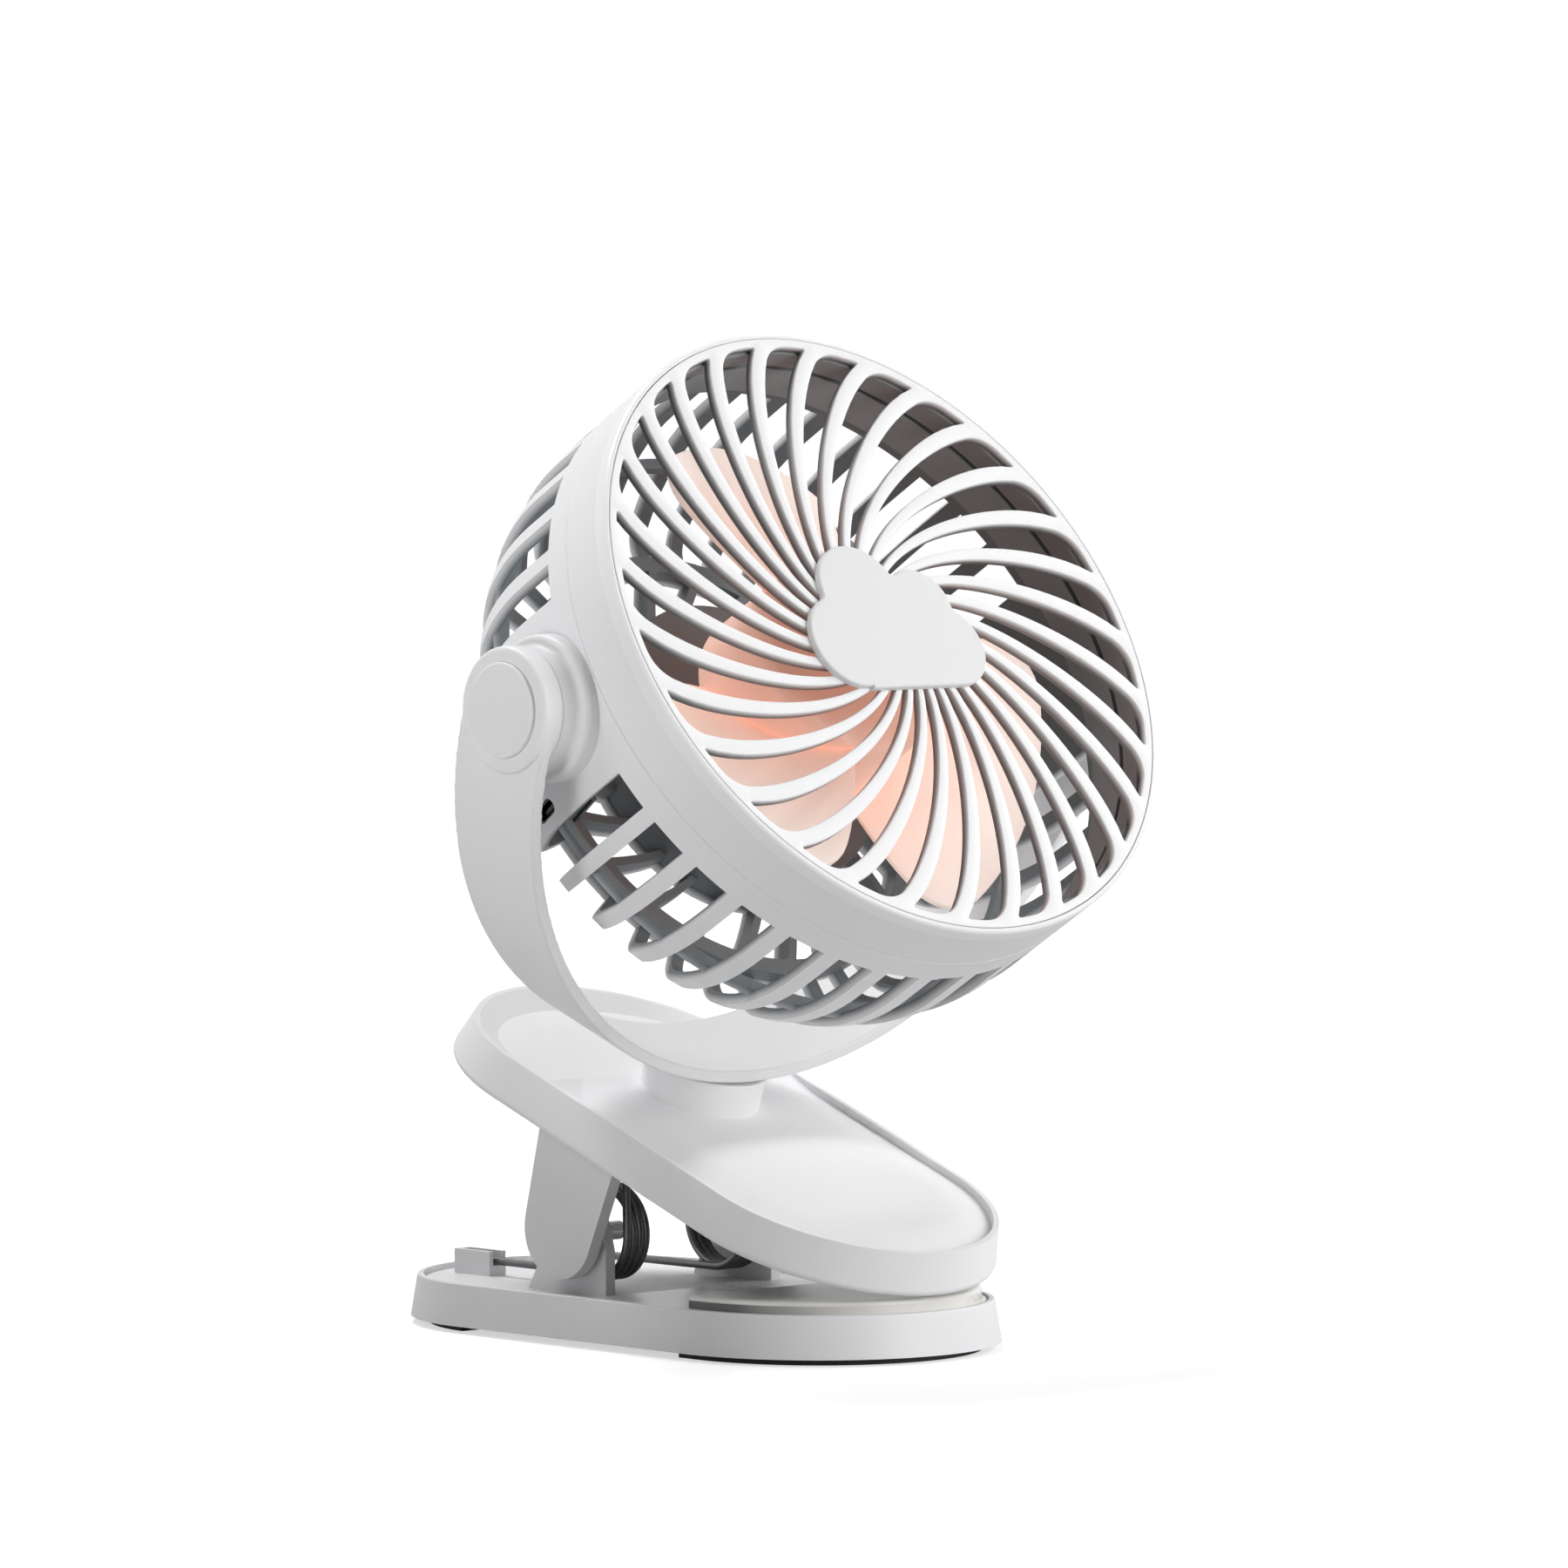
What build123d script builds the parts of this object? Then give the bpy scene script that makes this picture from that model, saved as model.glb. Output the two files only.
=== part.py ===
from build123d import *
from math import atan2, cos, sin, tan, radians, degrees, exp, log, sqrt
import os

os.makedirs("parts", exist_ok=True)

# Millimetres. Origin: centre of the base on the ground. +X points to the jaw end, +Z up.

# Lower clamp plate
BASE_LENGTH = 147.9
BASE_WIDTH = 76.6
BASE_HEIGHT = 9.0
BASE_DRAFT = 9.1
FOOT_HEIGHT = 1.5
RIM = 1.2
FLOOR_DEPTH = 1.2
JAW_PAD_TOP = 13.2
WALL = 2.2

# Upper clamp plate, in its own tilted frame: x along the plate, z square to it
PLATE_TILT = 20.5
PLATE_X = 5.6
PLATE_Z = 38.2
PLATE_LENGTH = 142.5
PLATE_WIDTH = 72.8
PLATE_HEIGHT = 9.5
PLATE_TOP_LENGTH = 137.5
PLATE_TOP_WIDTH = 68.2
PLATE_TOP_SHIFT = 1.0
PILLOW_DROP = 1.7
DISH_DEPTH = 2.8
DISH_SLOPE = 6.0
DISH_END = -23.0
COVER_THICKNESS = 1.8

# Clamp hinge
HINGE_X = -11.5
HINGE_Z = 22.1
HINGE_PIN_RADIUS = 2.0
EAR_INNER = 22.4
EAR_OUTER = 25.0
EAR_BACK = -27.1
EAR_FRONT = -2.8
TONGUE_INNER = 26.6
TONGUE_OUTER = 29.6
SPRING_RADIUS = 9.6
SPRING_WIRE = 1.7
SPRING_PITCH = 1.78
SPRING_TURNS = 3.25
SPRING_INNER = 14.0
LOWER_LEG = 45.4
UPPER_LEG = 16.5

# Swivel and yoke
SWIVEL_X = -10.6
PIVOT_HEIGHT = 99.7
YOKE_RADIUS = 82.0
YOKE_THICKNESS = 2.7
YOKE_HALF_WIDTH = 13.0
BOSS_RADIUS = 13.0
SPINDLE_RADIUS = 6.0
KNOB_FACE = 82.9
CAP_FACE = 83.8
CAP_RADIUS = 9.8
DISC_INNER = 78.3

# Head: axis z points out of the front, x to the side, y up
HEAD_TILT = 30.7
DRUM_RADIUS = 70.8
DRUM_WALL = 2.4
FRONT_FACE = 29.4
GRILLE_BACK = 26.0
SLAT_BACK = 27.2
SEAM = 15.8
TAPER_RADIUS = 49.3
TAPER_END = -32.0
REAR_FACE = -33.9
SLOT_FRONT = 9.9
SLOT_ANGLE = 3.5
SLOT_PITCH = 10
FIRST_SLOT = 20
REAR_RING_RADIUS = 50.0
REAR_RING_WIDTH = 3.5
REAR_SLAT_DEPTH = 5.5
HUB_RADIUS = 33.0
POCKET_RADIUS = 31.0
PIVOT_BOSS_FACE = 78.0

# Front grille
SLATS = 30
SLAT_START = 9.3
SLOT_OUTER = 67.7
SLOT_INNER = 13.0

# Rotor and motor
BLADES = 3
BLADE_TIP = 56.0
BLADE_BACK = -4.5
BLADE_RISE = 20.0
BLADE_SPAN = 80
BLADE_THICKNESS = 1.6
BLADE_START = 88
ROTOR_HUB_RADIUS = 22.5
ROTOR_HUB_BACK = -5.5
ROTOR_HUB_FRONT = 17.0
SHAFT_RADIUS = 1.5
SHAFT_END = 14.5
MOTOR_RADIUS = 12.2
MOTOR_BACK = -18.9
MOTOR_FRONT = 5.0

# Running clearances
GAP = 0.3
BORE_GAP = 0.05

plate_frame = Plane(
    origin=(PLATE_X, 0, PLATE_Z),
    x_dir=(cos(radians(PLATE_TILT)), 0, -sin(radians(PLATE_TILT))),
    z_dir=(sin(radians(PLATE_TILT)), 0, cos(radians(PLATE_TILT))),
)
yoke_frame = Plane(plate_frame.location * Location((SWIVEL_X, 0, PIVOT_HEIGHT)))
pivot = yoke_frame.origin
head_frame = Plane(
    origin=pivot,
    x_dir=(0, 1, 0),
    z_dir=(cos(radians(HEAD_TILT)), 0, sin(radians(HEAD_TILT))),
)
hinge_frame = Plane(origin=(HINGE_X, 0, HINGE_Z), x_dir=(1, 0, 0), z_dir=(0, 1, 0))


def save(name, part):
    """Write one sub-part, with its colour-free solids, as a STEP file."""
    part.label = name
    export_step(part, f"parts/{name}.step")


def group(solids):
    """Keep identical separate solids together as one compound."""
    return Compound(children=[item for solid in solids for item in solid.solids()])


def tube(outer, inner, bottom, top):
    """Plain ring between two heights."""
    height = top - bottom
    ring = Cylinder(outer, height) - Cylinder(inner, height)
    return Pos(0, 0, (bottom + top) / 2) * ring


def rod(radius, bottom, top):
    """Plain cylinder between two heights."""
    return Pos(0, 0, (bottom + top) / 2) * Cylinder(radius, top - bottom)


def side_rod(radius, start, end, x=0, z=0):
    """Cylinder along Y between two places."""
    return Pos(x, (start + end) / 2, z) * Cylinder(radius, abs(end - start), rotation=(90, 0, 0))


def both_sides(part):
    """A part and its mirror image across the middle plane."""
    return [part, mirror(part, about=Plane.XZ)]


def stadium(length, width):
    """Outline with parallel sides and round ends."""
    return SlotOverall(length, width)


def polar(radius, angle):
    """Point at a radius and an angle in degrees."""
    return (radius * cos(radians(angle)), radius * sin(radians(angle)))


# ---- Base ----

def lower_plate():
    """Tray with a thin raised rim, hinge ears, spring blocks and screw posts."""
    top = FOOT_HEIGHT + BASE_HEIGHT
    floor = top - FLOOR_DEPTH
    inset = BASE_HEIGHT * tan(radians(BASE_DRAFT)) + RIM
    body = Pos(0, 0, FOOT_HEIGHT) * extrude(stadium(BASE_LENGTH, BASE_WIDTH), BASE_HEIGHT, taper=BASE_DRAFT)
    body = fillet(body.edges().group_by(Axis.Z)[-1], 0.5)
    recess = stadium(BASE_LENGTH - 2 * inset, BASE_WIDTH - 2 * inset)
    body -= Pos(0, 0, floor) * extrude(recess, FLOOR_DEPTH + 1)
    hollow = stadium(BASE_LENGTH - 2 * WALL - 3, BASE_WIDTH - 2 * WALL - 3)
    body -= Pos(0, 0, FOOT_HEIGHT) * extrude(hollow, floor - 1.8 - FOOT_HEIGHT)
    body -= Pos(0, 0, FOOT_HEIGHT) * extrude(cover_outline(0.15), 1.75)
    for x, y in bottom_screw_places():
        body += Pos(x, y, 0) * tube(3.2, 1.2, 3.25, floor - 1)
    for ear in both_sides(hinge_ear(floor)) + both_sides(spring_block(floor)):
        body += ear
    return body


def cover_outline(growth):
    """Outline of the panel that closes the lower plate from below."""
    return stadium(BASE_LENGTH - 4.4 + 2 * growth, BASE_WIDTH - 4.4 + 2 * growth)


def bottom_screw_places():
    return [(x, y) for x in (-50, 48) for y in (-22, 22)]


def hinge_ear(floor):
    """Upright ear on the far side: round top, upright jaw edge, bored for its pin."""
    round_top = Pos(HINGE_X, HINGE_Z) * Circle(7.5)
    front_top = Pos(EAR_FRONT - 1.0, floor + 9.5) * Circle(1.0)
    foot = Pos((EAR_BACK + EAR_FRONT) / 2, floor) * Rectangle(EAR_FRONT - EAR_BACK, 0.6)
    profile = make_hull(round_top.edges() + front_top.edges() + foot.edges())
    plate = Plane.XZ.offset(-EAR_OUTER) * profile
    ear = extrude(plate, EAR_OUTER - EAR_INNER)
    return ear - side_rod(HINGE_PIN_RADIUS, 10, 30, HINGE_X, HINGE_Z)


def spring_block(floor):
    """Small block at the handle end, with an open channel for the spring leg."""
    leg_height = HINGE_Z - SPRING_RADIUS
    leg_y = SPRING_INNER - 1.2
    block = Pos(-56.7, leg_y, floor + 2.5) * Box(11.4, 4.6, 5.6)
    channel = Pos(-55.5, leg_y, leg_height + 2) * Box(11.4, 2.5, 5.9)
    return block - channel


def bottom_cover():
    """Flat panel that closes the underside, countersunk for its screws."""
    cover = Pos(0, 0, FOOT_HEIGHT) * extrude(cover_outline(0), 1.6)
    for x, y in bottom_screw_places():
        cover -= Pos(x, y, 0) * rod(1.5, 0, 5)
        cover -= Pos(x, y, 0) * rod(2.9, 0, FOOT_HEIGHT + 0.8)
    return cover


def bottom_screws():
    """Four self-tapping screws of the bottom cover."""
    screw = rod(2.5, FOOT_HEIGHT - 0.3, FOOT_HEIGHT + 0.8) + rod(1.2, FOOT_HEIGHT + 0.8, 7.3)
    screw -= rod(1.0, 0, FOOT_HEIGHT + 0.3)
    return group([Pos(x, y, 0) * screw for x, y in bottom_screw_places()])


def foot_pad(start, end):
    """Rubber pad under one end, following the plate's outline."""
    outline = stadium(BASE_LENGTH - 8, BASE_WIDTH - 8)
    strip = Pos((start + end) / 2, 0) * Rectangle(end - start, BASE_WIDTH)
    pad = extrude(outline & strip, FOOT_HEIGHT)
    for x, y in bottom_screw_places():
        pad -= Pos(x, y, 0) * rod(3.2, -1, 3)
    return pad


def lower_jaw_pad():
    """Pale pad in the lower jaw: a thin floor layer and a thick block towards the jaw end."""
    inset = BASE_HEIGHT * tan(radians(BASE_DRAFT)) + RIM
    floor = FOOT_HEIGHT + BASE_HEIGHT - FLOOR_DEPTH
    layer_outline = stadium(BASE_LENGTH - 2 * inset - 1.2, BASE_WIDTH - 2 * inset - 1.2)
    layer = extrude(layer_outline & jaw_side(2), 0.9)
    block_outline = stadium(BASE_LENGTH - 2 * inset - 3, BASE_WIDTH - 2 * inset - 3)
    block = extrude(block_outline & jaw_side(33), JAW_PAD_TOP - floor)
    block = fillet(block.edges().group_by(Axis.Z)[-1], 1.0)
    return Pos(0, 0, floor) * (layer + block)


def jaw_side(start):
    """Wide strip from one place along the plate to beyond the jaw end."""
    return Pos(start + BASE_LENGTH / 2, 0) * Rectangle(BASE_LENGTH, BASE_WIDTH)


def hinge_pins():
    """Two short steel pins, one through each ear and its tongue, that the springs sit round."""
    pin = side_rod(HINGE_PIN_RADIUS, SPRING_INNER - 1, TONGUE_OUTER - 1, HINGE_X, HINGE_Z)
    return group(both_sides(chamfer(pin.edges(), 0.4)))


def clamp_spring(side):
    """Torsion spring: coil about the pin, a leg to the block and a leg to the upper cover."""
    coil_path = Helix(SPRING_PITCH, SPRING_PITCH * SPRING_TURNS, SPRING_RADIUS, lefthand=True)
    wire = Circle(SPRING_WIRE / 2)
    start = Plane(origin=coil_path @ 0, z_dir=coil_path % 0) * wire
    end = Plane(origin=coil_path @ 1, z_dir=coil_path % 1) * wire
    coil = sweep(start, path=coil_path, is_frenet=True)
    spring = coil + extrude(start, -LOWER_LEG) + extrude(end, UPPER_LEG)
    spring = hinge_frame.location * Pos(0, 0, SPRING_INNER) * Rot(0, 0, 90) * spring
    return spring if side > 0 else mirror(spring, about=Plane.XZ)


# ---- Upper clamp, modelled in the plate's frame ----

def upper_plate():
    """Drafted shell with a crowned pillow towards the jaw, a dished handle end and the swivel boss."""
    top_outline = Pos(PLATE_TOP_SHIFT, 0, PLATE_HEIGHT) * stadium(PLATE_TOP_LENGTH, PLATE_TOP_WIDTH)
    body = loft([stadium(PLATE_LENGTH, PLATE_WIDTH).face(), top_outline.face()])
    body = fillet(body.edges().group_by(Axis.Z)[0], 1.2)
    inner_length = PLATE_TOP_LENGTH - 2 * RIM
    inner_width = PLATE_TOP_WIDTH - 2 * RIM
    body -= Pos(PLATE_TOP_SHIFT, 0, 0) * pillow_groove(inner_length, inner_width)
    body -= Pos(PLATE_TOP_SHIFT, 0, 0) * handle_dish(inner_length, inner_width)
    body -= lower_hollow()
    body += Pos(SWIVEL_X, 0, 0) * swivel_boss()
    body -= Pos(SWIVEL_X, 0, 0) * rod(SPINDLE_RADIUS + BORE_GAP, 3, 30)
    body -= Pos(SWIVEL_X, 0, 0) * rod(11, COVER_THICKNESS, 9)
    for x, y in cover_screw_places():
        body += Pos(x, y, 0) * rod(3.0, COVER_THICKNESS + 0.1, 3.2 if x < -30 else 6)
        body -= Pos(x, y, 0) * rod(1.2, 0, 3.3)
    return body


def pillow_groove(length, width):
    """Cutter for the sloping margin round the pillow, which runs out beside the boss."""
    slope = 9.0
    floor = PLATE_HEIGHT - PILLOW_DROP
    pocket = Pos(0, 0, floor) * extrude(stadium(length, width), PILLOW_DROP + 0.5)
    crown = extrude(stadium(length, width), PILLOW_DROP, taper=90 - degrees(PILLOW_DROP / slope))
    crown = fillet(crown.edges().group_by(Axis.Z)[-1], 30)
    crown += Pos(0, 0, PILLOW_DROP) * extrude(crown.faces().sort_by(Axis.Z)[-1], 1)
    run_out = Pos(DISH_END, 0, PLATE_HEIGHT) * Rot(0, 8, 0) * Pos(100, 0, 20) * Box(200, 100, 40)
    return (pocket - Pos(0, 0, floor) * crown) & run_out


def handle_dish(length, width):
    """Cutter for the dish: sloping sides and a floor that rises to nothing at the boss."""
    drop = DISH_DEPTH + 1
    slope_angle = degrees(atan2(DISH_SLOPE, DISH_DEPTH))
    cutter = Pos(0, 0, PLATE_HEIGHT + 0.01) * extrude(stadium(length, width), -drop, taper=slope_angle)
    handle_floor = DISH_SLOPE - length / 2
    rise_angle = degrees(atan2(DISH_DEPTH, DISH_END - handle_floor))
    tilted = Pos(handle_floor, 0, PLATE_HEIGHT - DISH_DEPTH) * Rot(0, -rise_angle, 0)
    above_floor = tilted * Pos(60, 0, 20) * Box(200, 100, 40)
    return cutter & above_floor


def lower_hollow():
    """Space inside the plate: shallow under the dish, deeper under the pillow."""
    shallow = extrude(stadium(PLATE_LENGTH - 2 * 3.2, PLATE_WIDTH - 2 * 3.2), 2.6)
    deep_outline = stadium(PLATE_LENGTH - 2 * 6.5, PLATE_WIDTH - 2 * 6.5)
    deep_half = Pos(40, 0) * Rectangle(76, PLATE_WIDTH)
    deep = extrude(deep_outline & deep_half, 5.2)
    return shallow + deep


def swivel_boss():
    """Round boss that carries the yoke, with a soft root."""
    top = PIVOT_HEIGHT - YOKE_RADIUS - 0.8
    boss = tube(BOSS_RADIUS, SPINDLE_RADIUS + BORE_GAP, 4, top)
    boss = fillet(boss.edges().group_by(Axis.Z)[-1].sort_by(SortBy.LENGTH)[-1], 0.6)
    return boss


def cover_screw_places():
    return [(-52, -15), (-52, 15), (6, -21), (6, 21)]


def plate_to_local(x, z):
    """World XZ point written in the plate's frame."""
    local = plate_frame.to_local_coords(Vector(x, 0, z))
    return (local.X, local.Z)


def upper_cover():
    """Inset panel under the upper plate, with the two hinge tongues."""
    panel = Pos(0, 0, -0.6) * extrude(stadium(PLATE_LENGTH - 2 * 3.4, PLATE_WIDTH - 2 * 3.4), COVER_THICKNESS + 0.6)
    for tongue in both_sides(hinge_tongue()):
        panel += tongue
    for anchor in both_sides(spring_anchor()):
        panel += anchor
    for x, y in cover_screw_places():
        panel -= Pos(x, y, 0) * rod(1.5, -2, 5)
        panel -= Pos(x, y, 0) * rod(2.9, -2, 0.4)
    return panel


def hinge_tongue():
    """Tongue on the far side: round lower end about the pin, wide root at the cover."""
    centre = plate_to_local(-12.8, 23.05)
    back = plate_to_local(-19.3, 43.05)
    front = plate_to_local(4.0, 34.55)
    round_end = Pos(*centre) * Circle(10.5)
    root = Pos((back[0] + front[0]) / 2, 0.2) * Rectangle(front[0] - back[0], 1.0)
    profile = make_hull(round_end.edges() + root.edges())
    plate = Plane.XZ.offset(-TONGUE_OUTER) * profile
    tongue = extrude(plate, TONGUE_OUTER - TONGUE_INNER)
    hinge = plate_to_local(HINGE_X, HINGE_Z)
    return tongue - side_rod(HINGE_PIN_RADIUS + BORE_GAP, 10, TONGUE_OUTER - 0.8, hinge[0], hinge[1])


def spring_anchor():
    """Small wall under the cover that the spring's upper leg pushes on."""
    tip_y = SPRING_INNER + SPRING_PITCH * SPRING_TURNS
    place = plate_to_local(HINGE_X + SPRING_RADIUS + SPRING_WIRE / 2 + 1.8, HINGE_Z + 15)
    return Pos(place[0], tip_y, -2.6) * Box(2.0, 5, 4.4)


def upper_jaw_pad():
    """Rubber jaw pad with anti-slip ribs across it."""
    outline = stadium(PLATE_LENGTH - 2 * 4.6, PLATE_WIDTH - 2 * 4.6)
    strip = Pos(38, 0) * Rectangle(48, PLATE_WIDTH)
    bottom = -1.2
    pad = Pos(0, 0, bottom) * extrude(outline & strip, -0.6 - bottom)
    for x in range(18, 59, 5):
        width = 44 if x < 45 else 34
        pad += Pos(x, 0, bottom - 0.1) * Box(1.6, width, 0.6)
    return pad


def cover_screws():
    """Four screws that hold the underside cover."""
    screw = rod(2.5, -0.8, 0.4) + rod(1.2, 0.4, 3.0)
    screw -= rod(1.0, -2, -0.2)
    return group([Pos(x, y, 0) * screw for x, y in cover_screw_places()])


# ---- Yoke, modelled in the yoke's frame: z square to the plate, origin at the pivots ----

def yoke():
    """Half-ring band with a pivot disc at each end and the swivel spindle below."""
    section = Circle(YOKE_RADIUS) - Circle(YOKE_RADIUS - YOKE_THICKNESS)
    lower_half = Pos(0, -YOKE_RADIUS / 2) * Rectangle(2 * YOKE_RADIUS, YOKE_RADIUS)
    band = extrude(Plane.YZ * (section & lower_half), YOKE_HALF_WIDTH, both=True)
    band = fillet(band.edges().filter_by(GeomType.CIRCLE), 0.6)
    for disc in both_sides(pivot_disc()):
        band += disc
    for pocket in both_sides(pivot_pocket()):
        band -= pocket
    spindle_end = 8.9 - PIVOT_HEIGHT
    band += rod(SPINDLE_RADIUS, spindle_end, -YOKE_RADIUS + 1.2)
    band -= rod(1.5, spindle_end - 1, spindle_end + 9)
    return band


def pivot_disc():
    """Round disc at the yoke's far end, with a rounded outer edge."""
    disc = side_rod(YOKE_HALF_WIDTH, DISC_INNER, KNOB_FACE)
    return fillet(disc.edges().group_by(Axis.Y)[-1], 1.0)


def pivot_pocket():
    """Cap recess, screw-head well and shoulder bore of one pivot disc."""
    recess = side_rod(CAP_RADIUS + 0.05, 81.4, 90)
    well = side_rod(7.0, DISC_INNER + 1.0, 82)
    bore = side_rod(4.0 + BORE_GAP, 70, 81)
    return recess + well + bore


def pivot_caps():
    """Two round covers over the pivot screws."""
    cap = side_rod(CAP_RADIUS, 81.4, CAP_FACE)
    cap = fillet(cap.edges().group_by(Axis.Y)[-1], 0.6)
    return group(both_sides(cap))


def swivel_washer():
    """Steel washer that keeps the spindle in its boss."""
    return tube(9.5, 1.55, 7.6 - PIVOT_HEIGHT, 8.9 - PIVOT_HEIGHT)


def swivel_screw():
    """Screw up into the spindle."""
    head = rod(3.2, 5.5 - PIVOT_HEIGHT, 7.6 - PIVOT_HEIGHT)
    shank = rod(1.5, 7.6 - PIVOT_HEIGHT, 16 - PIVOT_HEIGHT)
    socket = rod(1.3, 5 - PIVOT_HEIGHT, 6.6 - PIVOT_HEIGHT)
    return head + shank - socket


# ---- Head, modelled in the head's frame ----

def taper_radius(s):
    """Outer radius of the drum where it narrows towards the back."""
    return DRUM_RADIUS - TAPER_RADIUS + sqrt(TAPER_RADIUS**2 - s**2)


def drum_profile(offset):
    """Half section of the rear drum, shrunk by an offset."""
    side = DRUM_RADIUS - offset
    taper_start = (taper_radius(0) - offset, 0)
    taper_mid = (taper_radius(-17) - offset * 0.94, -17 + offset * 0.34)
    corner_start = (taper_radius(TAPER_END + 1.5) - offset * 0.78, TAPER_END + 1.5 + offset * 0.6)
    corner_mid = (57.2 - offset * 0.5, -32.9 + offset * 0.8)
    corner_end = (54.4, REAR_FACE + offset)
    return make_face(
        Curve()
        + Line((0, SEAM), (side, SEAM))
        + Line((side, SEAM), taper_start)
        + ThreePointArc(taper_start, taper_mid, corner_start)
        + ThreePointArc(corner_start, corner_mid, corner_end)
        + Line(corner_end, (0, REAR_FACE + offset))
        + Line((0, REAR_FACE + offset), (0, SEAM))
    )


def spin(profile):
    """Turn a half section, drawn as radius and height, about the head's axis."""
    return revolve(Plane.XZ * profile, Axis.Z)


def slot_angles():
    """Middle angles of the side slots, leaving the two pivot panels blank."""
    per_side = 15
    return [start + FIRST_SLOT + SLOT_PITCH * k for start in (0, 180) for k in range(per_side)]


def side_slot():
    """Cutter for one side slot, which runs round the rear corner to the rear ring."""
    reach = 80.0
    width = 2 * reach * tan(radians(SLOT_ANGLE))
    length = SLOT_FRONT + 45
    outline = Rectangle(length, width)
    face = Plane(origin=(reach, 0, 0), x_dir=(0, 0, 1), z_dir=(1, 0, 0)) * Pos(SLOT_FRONT - length / 2, 0) * outline
    return extrude(face, -(reach - REAR_RING_RADIUS), taper=SLOT_ANGLE)


def rear_shell():
    """Rear drum: slotted side, ribbed back, pivot bosses, electronics pocket and motor cup."""
    shell = spin(drum_profile(0)) - spin(drum_profile(DRUM_WALL))
    cutter = side_slot()
    shell -= [Rot(0, 0, angle) * cutter for angle in slot_angles()]
    shell += tube(REAR_RING_RADIUS, HUB_RADIUS, REAR_FACE, REAR_FACE + REAR_SLAT_DEPTH)
    shell -= rear_slots()
    shell += stiffening_ring()
    for boss in pivot_bosses():
        shell += boss
    shell += electronics_pocket()
    shell += motor_cup()
    shell -= rod(POCKET_RADIUS - 0.2, REAR_FACE - 5, REAR_FACE + 2.0)
    shell -= rod(POCKET_RADIUS - 1.6, REAR_FACE - 5, MOTOR_BACK - 2)
    for hole in pivot_screw_holes():
        shell -= hole
    shell += charging_seat()
    shell -= charging_hole()
    shell -= seam_groove()
    for x, y in motor_screw_places():
        shell -= Pos(x, y, 0) * rod(1.3, MOTOR_BACK - 3, MOTOR_BACK + 1)
    for x, y in cap_screw_places():
        shell += Pos(x, y, 0) * tube(2.5, 0.9, REAR_FACE + 2.0, MOTOR_BACK - 1.5)
    return shell


def rear_slots():
    """Cutters for the spiral slots in the back, between the hub and the rear ring."""
    count = 24
    outline = swept_slot(HUB_RADIUS, REAR_RING_RADIUS - REAR_RING_WIDTH, count, 1.2, 0)
    slot = Pos(0, 0, REAR_FACE - 2) * extrude(outline, REAR_SLAT_DEPTH + 4)
    return [Rot(0, 0, 360 / count * k) * slot for k in range(count)]


def stiffening_ring():
    """Thin ring inside the side ribs."""
    height = -16.0
    radius = taper_radius(height) - DRUM_WALL
    return tube(radius + 0.4, radius - 2.0, height - 1.2, height + 1.2)


def pivot_bosses():
    """Round boss on each side of the drum, with a soft low flange round its root."""
    neck = 12.6
    flange = 15.2
    profile = make_face(
        Curve()
        + Polyline((neck, 75.2), (neck, PIVOT_BOSS_FACE - 0.5), (neck - 0.5, PIVOT_BOSS_FACE), (0, PIVOT_BOSS_FACE))
        + Polyline((0, PIVOT_BOSS_FACE), (0, 62), (flange, 62), (flange, 72.4))
        + ThreePointArc((flange, 72.4), (flange - 0.4, 73.3), (flange - 1.2, 73.8))
        + ThreePointArc((flange - 1.2, 73.8), (neck + 0.4, 74.3), (neck, 75.2))
    )
    boss = Rot(0, 90, 0) * spin(profile)
    boss -= spin(drum_profile(DRUM_WALL))
    return [boss, Rot(0, 0, 180) * boss]


def pivot_screw_holes():
    """Bores that take the pivot inserts."""
    hole = Rot(0, 90, 0) * rod(3.4, 69.9, PIVOT_BOSS_FACE + 1)
    return [hole, Rot(0, 0, 180) * hole]


def electronics_pocket():
    """Round pocket behind the motor for the battery and the control board."""
    wall = tube(HUB_RADIUS - 0.2, POCKET_RADIUS - 1.6, REAR_FACE + 1, MOTOR_BACK)
    front = tube(HUB_RADIUS - 0.2, 4.2, MOTOR_BACK - 2, MOTOR_BACK)
    return wall + front


def motor_cup():
    """Sleeve that centres the motor."""
    return tube(MOTOR_RADIUS + 1.9, MOTOR_RADIUS + 0.1, MOTOR_BACK - 1, MOTOR_BACK + 12)


def motor_screw_places():
    return [(-8, 0), (8, 0)]


def cap_screw_places():
    return [polar(23.2, angle) for angle in (90, 210, 330)]


def charging_place():
    """Place and direction of the inlet on the near side panel."""
    angle = 193
    s = -16.1
    return Rot(0, 0, angle) * Pos(taper_radius(s), 0, s) * Rot(0, 109, 0)


def charging_seat():
    """Small housing behind the panel that holds the inlet."""
    block = Pos(0, 0, -4.4) * Box(11.4, 5.8, 6.4)
    return charging_place() * block


def charging_hole():
    """Rounded opening for the charging inlet."""
    return charging_place() * extrude(SlotOverall(9.0, 3.4), 8, both=True)


def charging_port():
    """Metal socket with a tongue, set just inside its opening."""
    outline = SlotOverall(8.6, 3.0)
    shell = extrude(outline, 7) - Pos(0, 0, 0.5) * extrude(offset(outline, -0.3), 7)
    tongue = Pos(0, 0, 3.2) * Box(6.2, 0.8, 5.6)
    return charging_place() * Pos(0, 0, -7.6) * (shell + tongue)


def charging_board():
    """Small circuit board on the back of the inlet."""
    return charging_place() * Pos(0, 0, -8.2) * Box(12, 7, 1.2)


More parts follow.
